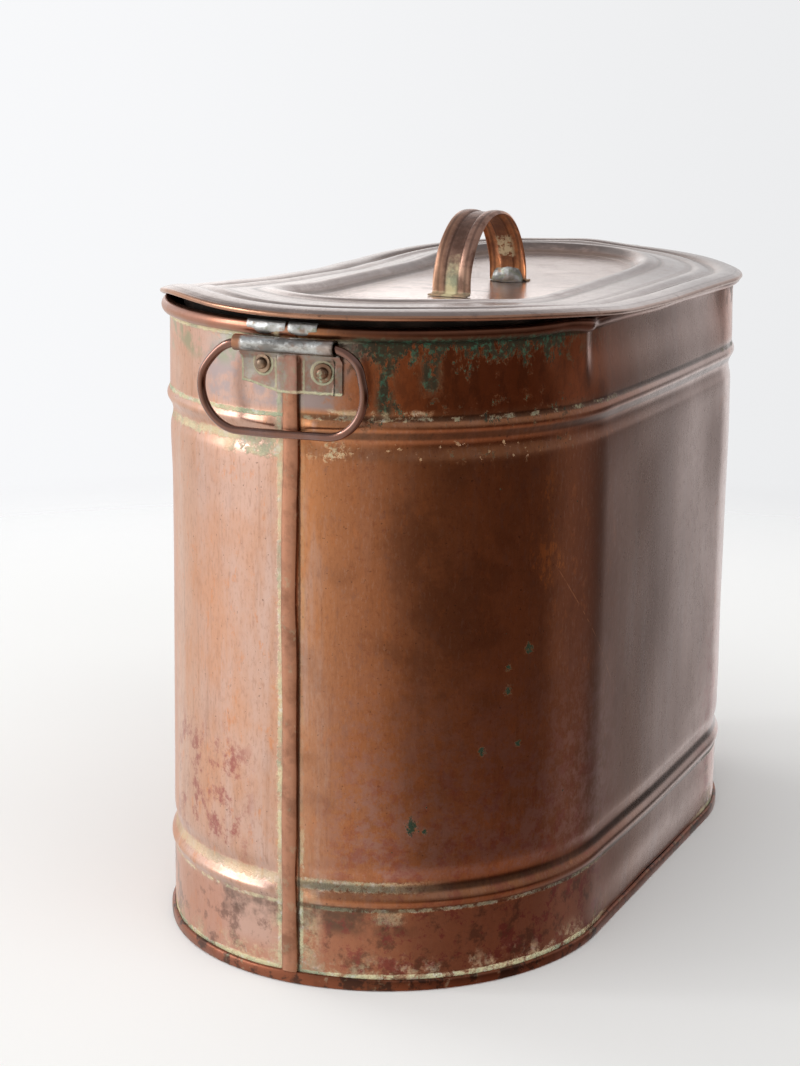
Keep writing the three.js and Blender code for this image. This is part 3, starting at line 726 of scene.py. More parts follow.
def strap_material():
    """Worn brown strap with a cream deposit low in the groove and round the feet."""
    p = Paint("strap_copper")
    x, y, z = p.x, p.y, p.z
    fine = p.noise(2.4, 71, 4, 0.7)
    patch = p.noise(14, 72, 5, 0.65)
    p.color = p.mix(patch.step(0.42, 0.62), (0.48, 0.27, 0.20), (0.25, 0.13, 0.095))
    p.stain(fine.step(0.5, 0.7) * 0.4, (0.50, 0.34, 0.28))
    warm = p.mix(patch.step(0.4, 0.6), (0.80, 0.34, 0.14), (0.52, 0.22, 0.11))
    p.stain(y.step(STRAP_Y, STRAP_Y + 20) * 0.9, warm)
    across = x - STRAP_X
    p.stain(across.step(-4, -8) * y.step(STRAP_Y, STRAP_Y - 20) * 0.5, (0.58, 0.30, 0.18))
    up = z - STRAP_FOOT_Z
    groove = across.near(0, 2.6, 2.2)
    edge = across.size().near(8.7, 0.3, 1.0) + across.size().near(4.3, 0.2, 0.9)
    p.stain((groove * 0.5 + edge * 0.55) * (0.4 + fine), (0.09, 0.05, 0.035))
    low = (up + (fine - 0.5) * 22 + (patch - 0.5) * 20).step(26, 8)
    crust = most(low * (groove * 0.9 + 0.12) * y.step(STRAP_Y, STRAP_Y - 10),
                 (up + (fine - 0.5) * 2).step(3.0, 1.4) * 0.5)
    tan = (up - 24 + (fine - 0.5) * 12 + (patch - 0.5) * 12).near(0, 5, 2) * across.near(0, 4, 3)
    tan = tan * y.step(STRAP_Y + 30, STRAP_Y + 36) * fine.step(0.42, 0.5)
    p.stain(crust * 0.85, p.mix(patch.step(0.45, 0.6), CREAM, PALE_GREEN))
    p.stain(tan * 0.9, (0.66, 0.52, 0.32))
    crust = crust.over(tan * 0.9)
    rough = 0.26 + 0.16 * fine + 0.1 * patch + crust * 0.3
    return p.finish(1 - crust * 0.8, rough, fine * 0.3 + patch * 0.6 + crust * 0.6, 0.25, coat=0.2)


def tin_material(name, dull=0.2, seed=40):
    """Solder or tinning: grey, lumpy, with darker oxide and a little green."""
    p = Paint(name)
    lump = p.noise(3.5, seed, 4, 0.6)
    blotch = p.noise(9, seed + 1, 4)
    p.color = p.mix(blotch.step(0.4, 0.62) * (0.4 + dull), TIN, DULL_TIN)
    p.stain(p.noise(6, seed + 2, 4).step(0.57, 0.66) * 0.6, (0.45, 0.27, 0.18))
    p.stain(lump.step(0.6 - dull * 0.2, 0.72 - dull * 0.15) * 0.6, PALE_GREEN)
    rough = 0.18 + dull * 0.25 + 0.3 * blotch
    return p.finish(0.92, rough, lump * 1.0 + blotch * 0.6, 0.5)


def iron_material():
    p = Paint("iron_wire")
    rust = p.noise(6, 50, 5, 0.7)
    p.color = p.mix(rust.step(0.4, 0.65), (0.16, 0.14, 0.13), (0.20, 0.08, 0.035))
    return p.finish(0.7, 0.45 + 0.4 * rust, rust, 0.3)


BODY_COPPER = body_material()
FOOT_COPPER = plain_copper("foot_copper", (0.30, 0.075, 0.04), 60, dark=0.35, coat=0.15, soot=0.8, crust_share=0.35)
SEAM_COPPER = plain_copper("seam_copper", (0.50, 0.24, 0.155), 65, dark=0.05, soot=0.12, crust_share=0.25)
LID_COPPER = lid_material()
STRAP_COPPER = strap_material()
COLLAR_COPPER = inner_material()
BAIL_COPPER = plain_copper("bail_copper", (0.12, 0.05, 0.048), 80, rough=0.1, coat=1.0, gloss=0.08, crust_share=0.04)
PLATE_COPPER = bracket_material()
RIVET_COPPER = plain_copper("rivet_copper", (0.38, 0.32, 0.24), 90, dark=0.1, soot=0.4, crust_share=0.9)
SOLDER = tin_material("solder")
FOOT_SOLDER = tin_material("foot_solder", dull=0.6, seed=46)
IRON = iron_material()


# ---- body -----------------------------------------------------------------
def near_end(y):
    return smooth((-y - 150) / 40)


# height of the lid's edge along each side: (y, height above LIP_Z), in mm
EDGE_RIGHT = [(-250, 6.5), (-190, 6), (-155, 4.5), (-135, 3), (-95, 0), (-40, -2), (40, -2.5), (95, -3.5),
              (150, -4), (190, -4), (225, -2.5), (250, -2)]
EDGE_LEFT = [(-250, 7), (-220, 10.5), (-190, 8), (-155, 2.5), (-130, 1), (-100, -1), (-70, -2.5), (-40, -4.5),
             (30, -6.5), (65, -7), (80, -6), (120, -6), (150, -4), (190, -1), (250, 4)]


def edge_height(y, rows):
    """Height read from the rows, evened out over a short run."""
    ys, hs = zip(*rows)
    return sum(np.interp(y + shift, ys, hs) for shift in (-12, -6, 0, 6, 12)) / 5


def lid_edge(x, y):
    across = smooth((x / HALF_WIDTH + 1) / 2)
    edge = edge_height(y, EDGE_RIGHT) * across + edge_height(y, EDGE_LEFT) * (1 - across)
    return edge + 1.6 * bump((x + 6) / 22) * smooth((y - 190) / 30)


def rim_dip(x, y):
    """How far the rim drops along each side; it always stays under the lid's edge."""
    middle = 1 - smooth((np.abs(y) - 40) / 150)
    low_right = (0.5 + 1.3 * smooth((x + 50) / 80)) * smooth((-y - 150) / 40)
    own = 2.5 * middle + low_right
    under_lid = 0.9 - lid_edge(x, y)
    return 0.5 * (own + under_lid + np.sqrt((own - under_lid) ** 2 + 0.25))


def body_warp(x, y, nx, ny, u, z):
    low = smooth((z - 12) / 20)
    panel = smooth((z - 72) / 30) * smooth((296 - z) / 30)
    up = smooth((z - DIP_FOOT) / (ROLL_Z - ROLL_R - DIP_FOOT))
    upper = smooth((z - 322) / 40)
    # beads fade beside the end seams
    at_seam = smooth((np.abs(x) - 5.5) / 9) * (np.abs(y) > 180) + (np.abs(y) <= 180)
    bead_zone = ((z > 30) & (z < 75)) | ((z > 290) & (z < 326))
    out = np.where(bead_zone, u * at_seam, u)
    # hand-made unevenness
    out = out + panel * 0.45 * waves(x, y, z * 0.55, 75, 11) + low * 0.12 * waves(x, y, z * 0.7, 38, 12)
    # the flat sides bow out a little
    side = smooth((np.abs(x) - 118) / 12)
    out = out + side * low * 2.4 * np.cos(np.clip(y / 175, -1, 1) * math.pi / 2) ** 2
    # the near left corner is a little hollow half way up
    out = out - 1.3 * panel * bump((x + 95) / 40) * bump((z - 190) / 90) * near_end(y)
    # the right side is dented in below the rim, with a kink where the dent starts
    right = (x > 0) * 1.0
    dent = smooth((y + 146) / 16) * (1 - smooth((y - 95) / 80)) * right
    out = out - 4.2 * dent * upper
    out = out + 0.9 * bump((y + 141) / 7) * right * upper * (x > 100)
    out = out - 0.9 * bump((y + 164) / 9) * right * smooth((z - 330) / 25) * (x > 90)
    out = out - 0.8 * bump((y + 150) / 16) * right * bump((z - 195) / 60) * (x > 100)
    zz = z - rim_dip(x, y) * up
    zz = zz - 1.6 * bump((y + 141) / 14) * right * up * (x > 90)
    zz = zz + 0.25 * up * waves(x, y, 0, 60, 14)
    return place(x, y, nx, ny, out, zz)


# section of a swaged bead: (share of how proud or deep, distance above the ridge in mm)
BEAD = [(0, -8), (0.05, -5), (0.42, -3), (0.88, -1.3), (1, 0), (0.86, 1.5), (0.2, 3.6), (-0.4, 5.4), (-0.93, 8.4),
        (-0.95, 11), (-0.6, 14), (-0.16, 17), (0, 20)]
BEAD_PROUD = 1.7
BEAD_DEEP = 1.6


def bead(ridge, up):
    rows = [((BEAD_PROUD if d > 0 else BEAD_DEEP) * d, ridge + up * h) for d, h in BEAD]
    return rows if up > 0 else rows[::-1]


def wall_profile():
    face = curve_through(bead(LOWER_BEAD_Z, 1), 1.1)
    face += [(0.0, z) for z in np.linspace(76, 291, 44)]
    face += curve_through(bead(UPPER_BEAD_Z, -1), 1.1)
    face += [(0.0, z) for z in np.linspace(328, 359, 10)]
    foot = [(0.0, z) for z in (1.4, 4, 7, 10, 14, 19, 24, 30, 36, 40)]
    start = [(0.0, ROLL_Z - ROLL_R - 1.2), (0.05, ROLL_Z - ROLL_R - 0.3)]
    roll = arc(ROLL_OUT, ROLL_Z, ROLL_R, -96, 236, 30)
    return foot + face + start + roll


WALL_PROFILE = wall_profile()
for name, path in (("side_sheet_right", RIGHT), ("side_sheet_left", LEFT)):
    wall_grid = lay(path, WALL_PROFILE, body_warp)
    inward = np.repeat([0.0, 1.0], wall_grid.shape[0] * wall_grid.shape[1])
    shell(name.replace("sheet", "wall"), wall_grid, WALL, "body", "body_copper", BODY_COPPER, [name],
          attribute=inward)

RIM_WIRE = 2.8
rim_grid = lay(WHOLE, arc(ROLL_OUT, ROLL_Z, RIM_WIRE, 0, 330, 11), body_warp)
loop_tube("rim_core", rim_grid, "body", "iron_wire", IRON, ["rim_wire"])


def pan_warp(x, y, nx, ny, u, z):
    edge = smooth((u + 3) / 3)
    out = u + edge * 0.28 * waves(x, y, 0, 42, 21) * smooth(z / 2)
    lift = edge * smooth((z - 3) / 3) * (0.55 * waves(x, y, 0, 34, 22) - 0.2)
    return place(x, y, nx, ny, out, z + lift)


PAN_PROFILE = [(CENTRE * 0.98, 0), (-90, 0), (-50, 0), (-10, 0), (0, 0), (HEM_OUT - 0.7, 0), (HEM_OUT - 0.15, 0.25),
               (HEM_OUT, 0.9), (HEM_OUT + 0.1, 2.2), (HEM_OUT + 0.1, 3.8), (HEM_OUT - 0.05, 5.2),
               (HEM_OUT - 0.4, 6.0), (HEM_OUT - 1.0, HEM_HEIGHT), (0.35, HEM_HEIGHT - 0.1)]


def add_pan():
    grid = lay(WHOLE, PAN_PROFILE, pan_warp)
    inner = grid - normals_of(grid, True) * WALL
    verts, faces = between_discs(grid, inner, [[0, 0, 0], [0, 0, WALL]])
    verts[:, 2] = np.maximum(verts[:, 2], 0)
    make("foot_pan", verts, faces, "body", "body_copper", FOOT_COPPER, ["bottom_pan"])


add_pan()


def wall_y(x):
    """Distance of the end wall's face from the middle, at distance x from the seam."""
    return STRAIGHT + END_DEPTH * np.sqrt(1 - (x / HALF_WIDTH) ** 2)


def add_seam(end, name, node):
    """The folded seam: a raised strip, round on one edge and folded sharp on the other."""
    section = [(-1.05, 0.0), (-1.02, 0.35), (-0.94, 0.62), (-0.8, 0.8), (-0.55, 0.93), (-0.2, 1.01), (0.15, 1.02),
               (0.5, 0.98), (0.82, 0.92), (0.97, 0.8), (1.01, 0.4), (1.0, 0.0)]
    heights = np.linspace(HEM_HEIGHT + 0.4, ROLL_Z - ROLL_R - 0.5, 130)
    zz = heights[:, None]
    s = np.array(section)
    wobble = 0.45 * waves(0, 0, zz, 60, 31 + end) + 0.2 * waves(0, 0, zz, 17, 33 + end)
    half = SEAM_HALF * (1 + 0.05 * waves(0, 0, zz, 40, 35 + end))
    x = s[None, :, 0] * half + wobble
    off = s[None, :, 1] * SEAM_PROUD * (1 + 0.1 * waves(x, zz, zz, 25, 37 + end))
    y = end * (wall_y(x) + off + 0.02)
    grid = np.stack([x, y, np.broadcast_to(zz, x.shape)], -1)
    if end > 0:
        grid = grid[:, ::-1]
    back = grid.copy()
    back[..., 1] = end * (wall_y(grid[..., 0]) - 0.25)
    make(name, *between(grid, back), "body", "body_copper", SEAM_COPPER, [node])


ENDS = ((-1, "near"), (1, "far"))
for end, end_name in ENDS:
    add_seam(end, f"{end_name}_end_fold", f"{end_name}_end_seam")


# (from, to, seed) across the seam
RIM_LUMPS = ((-25, -1.0, 1), (0.7, 17, 2))


def add_rim_solder(end, name, node):
    """Two lumps of solder on the rolled rim, either side of the joint between the sheets."""
    angles = np.radians(np.linspace(-78, 62, 18))[None, :]
    along = np.linspace(0, 1, 26)[:, None]
    across = np.linspace(0, 1, 18)[None, :]
    edge = (np.sin(math.pi * along) ** 0.6) * (np.sin(math.pi * across) ** 0.6)
    verts, faces = [], []
    for start, stop, seed in RIM_LUMPS:
        x = np.linspace(start, stop, 26)[:, None] * -end

        def skin(r):
            y = end * (wall_y(x) + ROLL_OUT + r * np.cos(angles))
            return np.stack(np.broadcast_arrays(x, y, ROLL_Z + r * np.sin(angles)), -1)

        lump = 0.42 + 0.34 * waves(x, angles * 6, 0, 6, 41 + seed + end)
        more_verts, more_faces = between(skin(ROLL_R + 0.02 + edge * np.maximum(lump, 0.08) * 1.5),
                                         skin(ROLL_R - 0.3))
        faces.append(more_faces + sum(len(v) for v in verts))
        verts.append(more_verts)
    make(name, np.concatenate(verts), np.concatenate(faces), "body", "solder", SOLDER, [node])


for end, end_name in ENDS:
    add_rim_solder(end, f"{end_name}_rim_patch", f"{end_name}_rim_solder")


# ---- drop handles ---------------------------------------------------------
PLATE_HALF = 29.8
TUBE_HALF = 29.5
TUBE_SKIN = 4.35


PLATE_TOP = 351.6
PLATE_STANDS_OFF = 1.75
PLATE_THICK = 0.95
# where the sheet leaves the plate for the tube, and where its end tucks in behind:
# (offset, height, share of the straight tube line, share of the tube's half length)
PLATE_NECK = [(1.9, 352.6, 0.2, 0.1), (2.3, 353.6, 0.45, 0.3), (3.1, 354.5, 0.8, 0.7)]
PLATE_TAIL = [(1.6, 353.2, 0.7, 0.6), (0.75, 351.4, 0.3, 0.2), (0.7, 349.5, 0.1, 0.0)]


def add_bracket(end, name, node):
    """A sheet plate formed over the seam, its top rolled forward into a tube."""
    rows = [(PLATE_STANDS_OFF, z, 0, 0) for z in np.linspace(PLATE_LOW, 351.5, 22)] + PLATE_NECK
    rows += [(u, z, 1, 1) for u, z in arc(TUBE_OUT, TUBE_Z, TUBE_SKIN, 232, 232 + 318, 34)] + PLATE_TAIL
    u, height, straight, wide = np.array(rows, float).T
    x = np.linspace(-1, 1, 90)[:, None] * (PLATE_HALF + wide * (TUBE_HALF - PLATE_HALF))
    z = np.broadcast_to(height, x.shape).copy()
    flat = 1 - straight
    off = u + flat * smooth((7.4 - np.abs(x)) / 2.0) * (SEAM_PROUD + 0.1)
    off = off + flat * 0.22 * waves(x, z, 0, 11, 51 + end)
    off = off + flat * 0.75 * smooth((x - 25.4 - (z - 345) * 0.06) / 0.5)
    z = z + np.where(straight > 0.95, 0.12 * waves(x, 0, 0, 14, 53 + end), 0)
    z = z + np.where(z < PLATE_LOW + 1.5, 0.5 * waves(x, 0, 0, 16, 52 + end), 0)
    rise = PLATE_RISE * smooth((-x - 4) / 26) * np.clip((PLATE_TOP - z) / (PLATE_TOP - PLATE_LOW), 0, 1)
    z = z + np.where(z < PLATE_TOP, rise, 0)
    base = wall_y(x) * flat + HALF_LENGTH * straight
    grid = np.stack([x * -end, end * (base + off), z], -1)
    shell(name, grid, PLATE_THICK, "body", "fitting_copper", PLATE_COPPER, [node])


BAIL_HALF_HEIGHT = 23.65
BAIL_END = 21.6
BAIL_FLAT = 26.4
BAIL_WIRE = 2.35


def bail_path():
    """The bail's own line in its plane, centred, anticlockwise: two round ends and two straight runs."""
    t = np.linspace(-math.pi / 2, math.pi / 2, 34)
    run = np.linspace(0, 1, 14)[1:-1]
    ones = np.ones_like(run)
    right = np.array([BAIL_FLAT + BAIL_END * np.cos(t), BAIL_HALF_HEIGHT * np.sin(t),
                      np.cos(t) / BAIL_END, np.sin(t) / BAIL_HALF_HEIGHT])
    top = np.array([BAIL_FLAT - 2 * BAIL_FLAT * run, BAIL_HALF_HEIGHT * ones, 0 * ones, ones])
    return np.concatenate([right, top, -right, -top], axis=1)


def add_bail(end, name, node, body):
    px, pz, nx, nz = bail_path()
    n = np.hypot(nx, nz)
    nx, nz = nx / n, nz / n
    low = smooth(-(pz - 18) / 12)
    px = px - 2.0 * low + 0.5 * low * waves(px, pz, 0, 45, 61 + end)
    pz = pz + 0.35 * low * waves(px, pz, 0, 38, 62 + end)
    a = np.linspace(0, 2 * math.pi, 20, endpoint=False)
    r = BAIL_WIRE * (1 + 0.02 * waves(px, pz, 0, 12, 63))[:, None]
    x = px[:, None] + nx[:, None] * r * np.cos(a)
    z = pz[:, None] + nz[:, None] * r * np.cos(a)
    y = r * np.sin(a)
    grid = np.stack([x * -end, end * (HALF_LENGTH + TUBE_OUT) + y, z + TUBE_Z - BAIL_HALF_HEIGHT], -1)
    loop_tube(name, grid, body, "bail_wire", BAIL_COPPER, [node])


def turned(profile, steps=36):
    """A profile of (radius, height) pairs turned about the local z."""
    a = np.linspace(0, 2 * math.pi, steps, endpoint=False)[:, None]
    r, z = np.array(profile).T
    return np.stack(np.broadcast_arrays(r * np.cos(a), r * np.sin(a), z), -1)


def on_wall(points, x, z, end):
    """Local z becomes the wall's outward direction at (x, z) on an end."""
    slope = END_DEPTH * x / HALF_WIDTH ** 2 / math.sqrt(1 - (x / HALF_WIDTH) ** 2)
    n = np.array([slope, end, 0.0]) / math.hypot(slope, 1)
    across = np.array([n[1], -n[0], 0.0])
    foot = np.array([x, end * float(wall_y(x)), z])
    return foot + points[..., :1] * across + points[..., 1:2] * np.array([0, 0, 1.0]) + points[..., 2:3] * n



RIVET = [(0.001, -2.9), (2.6, -2.8), (3.6, -2.2), (3.9, -1.1), (2.0, -1.1), (1.95, 2.9), (3.1, 3.05), (3.25, 3.5),
         (2.9, 4.2), (2.1, 4.85), (1.1, 5.2), (0.001, 5.3)]
WASHER = [(2.4, 1.9), (4.9, 1.9), (5.15, 2.15), (5.15, 2.5), (4.9, 2.8), (3.6, 2.95), (2.4, 2.9)]


def add_rivet(end, end_name, hand):
    x, z = RIVETS[hand]
    x = x * -end
    side = "left" if x < 0 else "right"
    looks = ("body", "fitting_copper", RIVET_COPPER)

    def part(profile, uneven, size, seed):
        grid = turned(profile)
        grid[..., :2] *= 1 + uneven * waves(grid[..., 0], grid[..., 1], grid[..., 2], size, seed + end)[..., None]
        return on_wall(grid, x, z, end)

    verts, faces = capped_tube(np.transpose(part(RIVET, 0.05, 4, 71), (1, 0, 2)))
    make(f"{end_name}_rivet_head_{side}", verts, faces, *looks, [f"{end_name}_rivet_{side}"])
    washer = part(WASHER, 0.03, 5, 73)
    loop_tube(f"{end_name}_rivet_washer_{side}", washer, *looks, [f"{end_name}_burr_{side}"])


for end, end_name in ENDS:
    add_bracket(end, f"{end_name}_bracket_plate", f"{end_name}_bracket")
    add_bail(end, f"{end_name}_drop_handle", f"{end_name}_bail", f"{end_name}_handle")
    for hand in RIVETS:
        add_rivet(end, end_name, hand)


# ---- lid ------------------------------------------------------------------
LID_TURN = math.radians(1.0)


def lid_warp(x, y, nx, ny, u, z):
    base = place(x, y, nx, ny, u, z)
    edge = lid_edge(base[..., 0], y)
    ends = smooth((np.abs(base[..., 1]) - 60) / 130)
    calm = ends * np.where(base[..., 1] < 0, 7.5, 5.0)
    keep = smooth((-u - 8) / 52)
    lift = edge * (1 - keep) + calm * keep
    high = base[..., 2] + LIP_Z + lift
    high = high + 0.35 * waves(base[..., 0], base[..., 1], 0, 85, 81) * smooth((u - CENTRE) / 40)
    c, s = math.cos(LID_TURN), math.sin(LID_TURN)
    return np.stack([base[..., 0] * c - base[..., 1] * s, base[..., 0] * s + base[..., 1] * c, high], -1)


# the lid from its middle to its edge: (offset from the wall line, height above LIP_Z), in mm
LID_TOP = [(CENTRE * 0.98, PANEL), (-118, PANEL), (-108, PANEL), (-95, PANEL), (-82, -3.5), (-72, -3.45),
           (-68.5, -3.2), (-66, -2.6), (-63.5, -1.2), (-61.5, 0.8), (-59.5, 2.4), (-57.5, 3.3), (-55, 3.5),
           (-53, 3.2), (-51, 2.6), (-48.5, 2.1), (-45, 2.1), (-38, 2.3), (-30, 2.5), (-27, 2.6), (-24.5, 3.3),
           (-22, 4.1), (-19.5, 4.3), (-17.5, 4.0), (-15.5, 3.4), (-13.5, 3.0), (-11.8, 3.2), (-10, 3.9),
           (-8, 4.6), (-5, 4.95), (-2, 4.85), (1, 4.5), (3.2, 4.0), (4.8, 3.45), (5.8, 3.0)]


def add_lid():
    profile = curve_through(LID_TOP, 1.6) + arc(LIP_OUT, LIP_R, LIP_R + 0.05, 66, -190, 14)
    grid = lay(WHOLE, profile, lid_warp)[::-1]
    span = np.broadcast_to(np.array(profile)[None, :, 0], grid.shape[:2]).ravel()
    inner = grid + normals_of(grid, True) * LID_SHEET
    flat_row = grid.shape[1] // 3
    if inner[0, flat_row, 2] > grid[0, flat_row, 2]:
        inner = 2 * grid - inner
    verts, faces = between_discs(grid, inner, [grid[:, 0].mean(0), inner[:, 0].mean(0)])
    spans = np.concatenate([span, span, [CENTRE, CENTRE]])
    make("lid_top", verts, faces, "lid", "lid_copper", LID_COPPER, ["lid_sheet"], spans)


add_lid()
LID_WIRE = 0.75
wire_grid = lay(WHOLE, arc(LIP_OUT, LIP_R, LID_WIRE, 0, 315, 7), lid_warp)
loop_tube("lid_edge_core", wire_grid, "lid", "iron_wire", IRON, ["lid_edge_wire"])


def collar_warp(x, y, nx, ny, u, z):
    right = (x > 0) * 1.0
    dent = smooth((y + 152) / 16) * (1 - smooth((y - 95) / 80)) * right
    out = u - 4.4 * dent
    return lid_warp(x, y, nx, ny, out, z)


COLLAR_TOP = 3.6
collar_grid = lay(WHOLE, [(COLLAR_OUT, z) for z in np.linspace(-COLLAR_DEPTH, COLLAR_TOP, 12)], collar_warp)
shell("lid_collar_band", collar_grid, LID_SHEET, "lid", "lid_copper", COLLAR_COPPER,
      ["lid_collar"], closed_u=True)


def strap_line(steps=70):
    """The strap's outer line in the YZ plane, near foot to far foot, with its outward direction."""
    t = np.linspace(math.pi, 0, steps)
    y = STRAP_HALF * np.cos(t)
    rise = STRAP_TOP_Z - 1.2 - STRAP_FOOT_Z - 2.6
    z = 2.6 + rise * np.sin(t)
    fillet = np.linspace(0, 1, 6)[:-1]
    foot_y = np.concatenate([np.linspace(-STRAP_HALF - STRAP_TAB, -STRAP_HALF - 2.6, 4),
                             -STRAP_HALF - 1.6 * (1 - fillet) ** 2])
    foot_z = np.concatenate([np.full(4, STRAP_THICK), STRAP_THICK + 1.6 * fillet ** 1.6])
    y = np.concatenate([foot_y, y, -foot_y[::-1]])
    z = np.concatenate([foot_z, z, foot_z[::-1]])
    dy, dz = np.gradient(y), np.gradient(z)
    n = np.hypot(dy, dz)
    return y, z, -dz / n, dy / n


def add_strap():
    y, z, ny, nz = strap_line()
    half = STRAP_WIDTH / 2
    x = np.linspace(-half, half, 46)
    rib = np.sqrt(np.clip(1 - ((np.abs(x) - half + 4.3) / 4.0) ** 2, 0, 1)) ** 0.9
    height = 1.15 * rib - 0.9 * smooth((np.abs(x) - half + 1.1) / 1.1)
    fade = smooth((STRAP_HALF + 1.5 - np.abs(y)) / 6)
    h = fade[:, None] * height[None, :]
    wob = 0.25 * waves(y[:, None], z[:, None], 0, 30, 91)
    grid = np.stack([STRAP_X + x[None, :] + wob + 0 * h, STRAP_Y + y[:, None] + ny[:, None] * h,
                     STRAP_FOOT_Z + z[:, None] + nz[:, None] * h], -1)
    shell("lid_handle", grid[:, ::-1], STRAP_THICK, "lid", "strap_copper", STRAP_COPPER, ["lid_strap"])


add_strap()


def add_foot_solder(side, name, node):
    """A lumpy fillet of solder inside each foot of the strap."""
    a = np.linspace(0, math.pi / 2, 12)
    xs = np.linspace(-10.5, 10.5, 30)[:, None]
    swell = (1 - (xs / 10.6) ** 2) ** 0.4
    size = swell * (4.4 + 1.6 * side + 1.5 * waves(xs, 0, 0, 8, 95 + side))
    y_in = size * 1.3 * (1 - np.sin(a))[None, :]
    z_up = size * (1.4 + 0.4 * side) * (1 - np.cos(a))[None, :]
    y = STRAP_Y + side * (STRAP_HALF - STRAP_THICK - 0.1 - y_in)
    z = STRAP_FOOT_Z + 0.05 + z_up + 0.1 * waves(xs, y, z_up, 5, 96)
    x = STRAP_X + np.broadcast_to(xs, y.shape)
    top = np.stack([x, y, z], -1)
    low = top.copy()
    low[..., 1] = STRAP_Y + side * (STRAP_HALF - STRAP_THICK - 0.05)
    low[..., 2] = STRAP_FOOT_Z
    make(name, *between(top, low), "lid", "solder", FOOT_SOLDER, [node])


for side, end_name in ENDS:
    add_foot_solder(side, f"{end_name}_foot_solder", f"{end_name}_strap_solder")


# ---- floor, light ---------------------------------------------------------
FLOOR_Z = -0.0004
FLOOR_RINGS = [0.3, 0.8, 1.6, 3.0, 6.0]
FLOOR_SOLID, FLOOR_GONE = 480.0, 1300.0


def add_floor():
    """A round floor that fades into the backdrop between two radii."""
    steps = 96
    angles = [2 * math.pi * k / steps for k in range(steps)]
    verts = [(0, 0, FLOOR_Z)]
    for radius in FLOOR_RINGS:
        verts += [(radius * math.cos(a), radius * math.sin(a), FLOOR_Z) for a in angles]
    faces = [(0, 1 + k, 1 + (k + 1) % steps) for k in range(steps)]
    for a in range(1, 1 + (len(FLOOR_RINGS) - 1) * steps, steps):
        b = a + steps
        faces += [(a + k, b + k, b + (k + 1) % steps, a + (k + 1) % steps) for k in range(steps)]
    me = bpy.data.meshes.new("floor")
    me.from_pydata(verts, [], faces)
    floor = bpy.data.objects.new("floor", me)
    bpy.context.scene.collection.objects.link(floor)
    p = Paint("floor_white")
    tone = p.noise(900, 99, 2)
    p.color = p.mix(tone.step(0.3, 0.7), (0.86, 0.86, 0.85), (0.9, 0.9, 0.89))
    p.feed(p.bsdf.inputs["Alpha"], (p.x * p.x + p.y * p.y).step(FLOOR_GONE ** 2, FLOOR_SOLID ** 2))
    me.materials.append(p.finish(0.0, 0.6 + 0.1 * tone))
    floor.visible_glossy = False


add_floor()

# Surroundings by compass direction, in degrees anticlockwise from +X; one number stands for a grey.
# low down, along the table
AROUND = [(-180, (1.0, 0.98, 0.97)), (-150, (1.05, 1.02, 0.99)), (-128, (1.08, 1.05, 1.0)),
          (-112, (0.86, 0.80, 0.74)), (-95, (0.60, 0.52, 0.44)), (-80, (0.60, 0.52, 0.44)),
          (-68, (0.42, 0.33, 0.25)), (-56, (0.205, 0.13, 0.078)), (-42, (0.068, 0.036, 0.021)),
          (-12, (0.06, 0.025, 0.014)), (6, (0.055, 0.022, 0.012)), (19, (0.055, 0.023, 0.013)),
          (25, (0.05, 0.024, 0.015)), (33, (0.32, 0.25, 0.22)), (47, (0.26, 0.2, 0.175)),
          (57, (0.04, 0.03, 0.026)), (68, (0.03, 0.024, 0.022)), (74, (0.30, 0.27, 0.26)),
          (80, (1.05, 1.05, 1.06)), (120, 1.0), (148, (0.96, 0.88, 0.8)), (166, (0.92, 0.78, 0.64)),
          (180, (1.0, 0.98, 0.97))]
# higher up
HIGH = [(-180, 1.2), (-166, 1.4), (-157, 5.0), (-141, 5.0), (-130, 1.0), (-100, (0.5, 0.48, 0.46)),
        (-50, (0.22, 0.19, 0.17)), (10, (0.22, 0.2, 0.19)), (60, (0.6, 0.6, 0.61)), (90, (0.8, 0.8, 0.81)),
        (104, (0.95, 0.95, 0.96)), (112, (1.3, 1.28, 1.27)), (120, (1.75, 1.73, 1.72)),
        (131, (1.55, 1.54, 1.53)), (143, 0.95), (180, 1.2)]
# behind the object, as the camera sees it
BACKDROP = [(-180, (0.94, 0.945, 0.96)), (100, (0.835, 0.84, 0.85)), (126, (0.94, 0.945, 0.96)),
            (180, (0.94, 0.945, 0.96))]
# the table as the shiny sides see it
TABLE = [(-180, (0.85, 0.83, 0.8)), (-120, (0.85, 0.82, 0.78)), (-70, (0.72, 0.62, 0.54)),
         (-40, (0.42, 0.30, 0.24)), (0, (0.30, 0.20, 0.16)), (50, (0.28, 0.22, 0.2)), (75, (0.42, 0.4, 0.39)),
         (120, 0.8), (180, (0.85, 0.83, 0.8))]
# what matt surfaces are lit by
SOFT = [(-180, 0.9), (-90, 1.5), (-20, 1.3), (40, 0.4), (110, 0.35), (180, 0.9)]
OVERHEAD = (0.42, 0.42, 0.43)


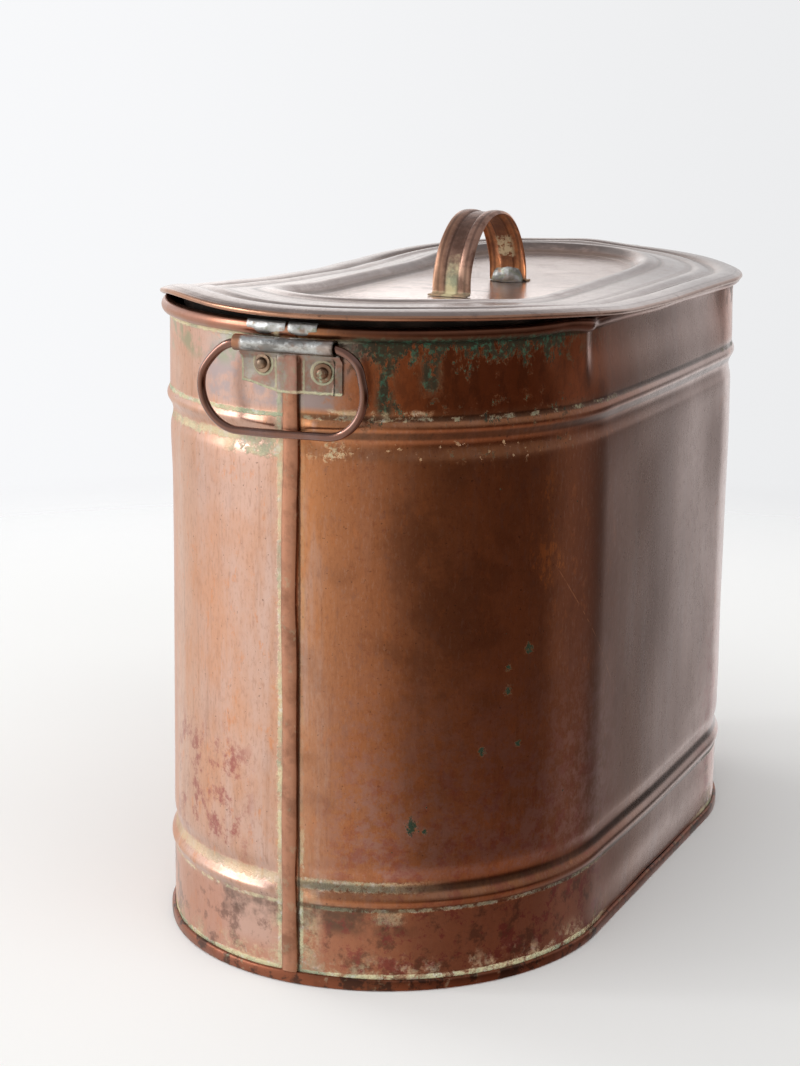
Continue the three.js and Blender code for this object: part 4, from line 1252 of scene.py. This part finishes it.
def add_world():
    world = bpy.data.worlds.new("studio")
    bpy.context.scene.world = world
    world.use_nodes = True
    world.node_tree.nodes.clear()
    w = Nodes(world.node_tree)
    split = w.new("ShaderNodeSeparateXYZ")
    w.tree.links.new(w.new("ShaderNodeTexCoord").outputs["Generated"], split.inputs[0])
    x, y, high = (Value(w, s) for s in split.outputs)
    turn = w.math("ARCTAN2", y, x) * (0.5 / math.pi) + 0.5

    def ramp(rows):
        n = w.new("ShaderNodeValToRGB")
        n.color_ramp.interpolation = "EASE"
        stops = n.color_ramp.elements
        while len(stops) < len(rows):
            stops.new(0.5)
        for stop, (angle, _) in zip(stops, rows):
            stop.position = (angle + 180) / 360
        for stop, (_, color) in zip(stops, rows):
            stop.color = (*color, 1) if isinstance(color, tuple) else (color, color, color, 1)
        w.feed(n.inputs["Fac"], turn)
        return Value(w, n.outputs["Color"])

    def seen_by(kind):
        return Value(w, rays.outputs[kind])

    rays = w.new("ShaderNodeLightPath")
    lit = w.mix(high.step(-0.10, 0.16), ramp(AROUND), ramp(HIGH))
    lit = w.mix(high.step(0.34, 0.60), lit, OVERHEAD)
    lit = w.mix(high.step(-0.55, -0.24), ramp(TABLE), lit)
    lit = w.mix(seen_by("Is Diffuse Ray"), lit, ramp(SOFT))
    lit = w.mix(seen_by("Is Camera Ray"), lit, ramp(BACKDROP))
    back = w.new("ShaderNodeBackground")
    w.feed(back.inputs["Color"], lit)
    w.tree.links.new(back.outputs[0], w.new("ShaderNodeOutputWorld").inputs["Surface"])


add_world()


def add_light(name, place, size, power, shiny):
    data = bpy.data.lights.new(name, "AREA")
    data.shape = "DISK"
    data.size = size
    data.energy = power
    lamp = bpy.data.objects.new(name, data)
    bpy.context.scene.collection.objects.link(lamp)
    lamp.location = place
    lamp.rotation_euler = (Vector((0, 0, 0.2)) - Vector(place)).to_track_quat("-Z", "Y").to_euler()
    lamp.visible_glossy = shiny


add_light("window", (-2.4, 0.4, 1.6), 1.4, 15, False)
add_light("pane", (-1.85, -1.05, 1.55), 0.28, 5, True)

bpy.context.scene.view_settings.view_transform = "Standard"
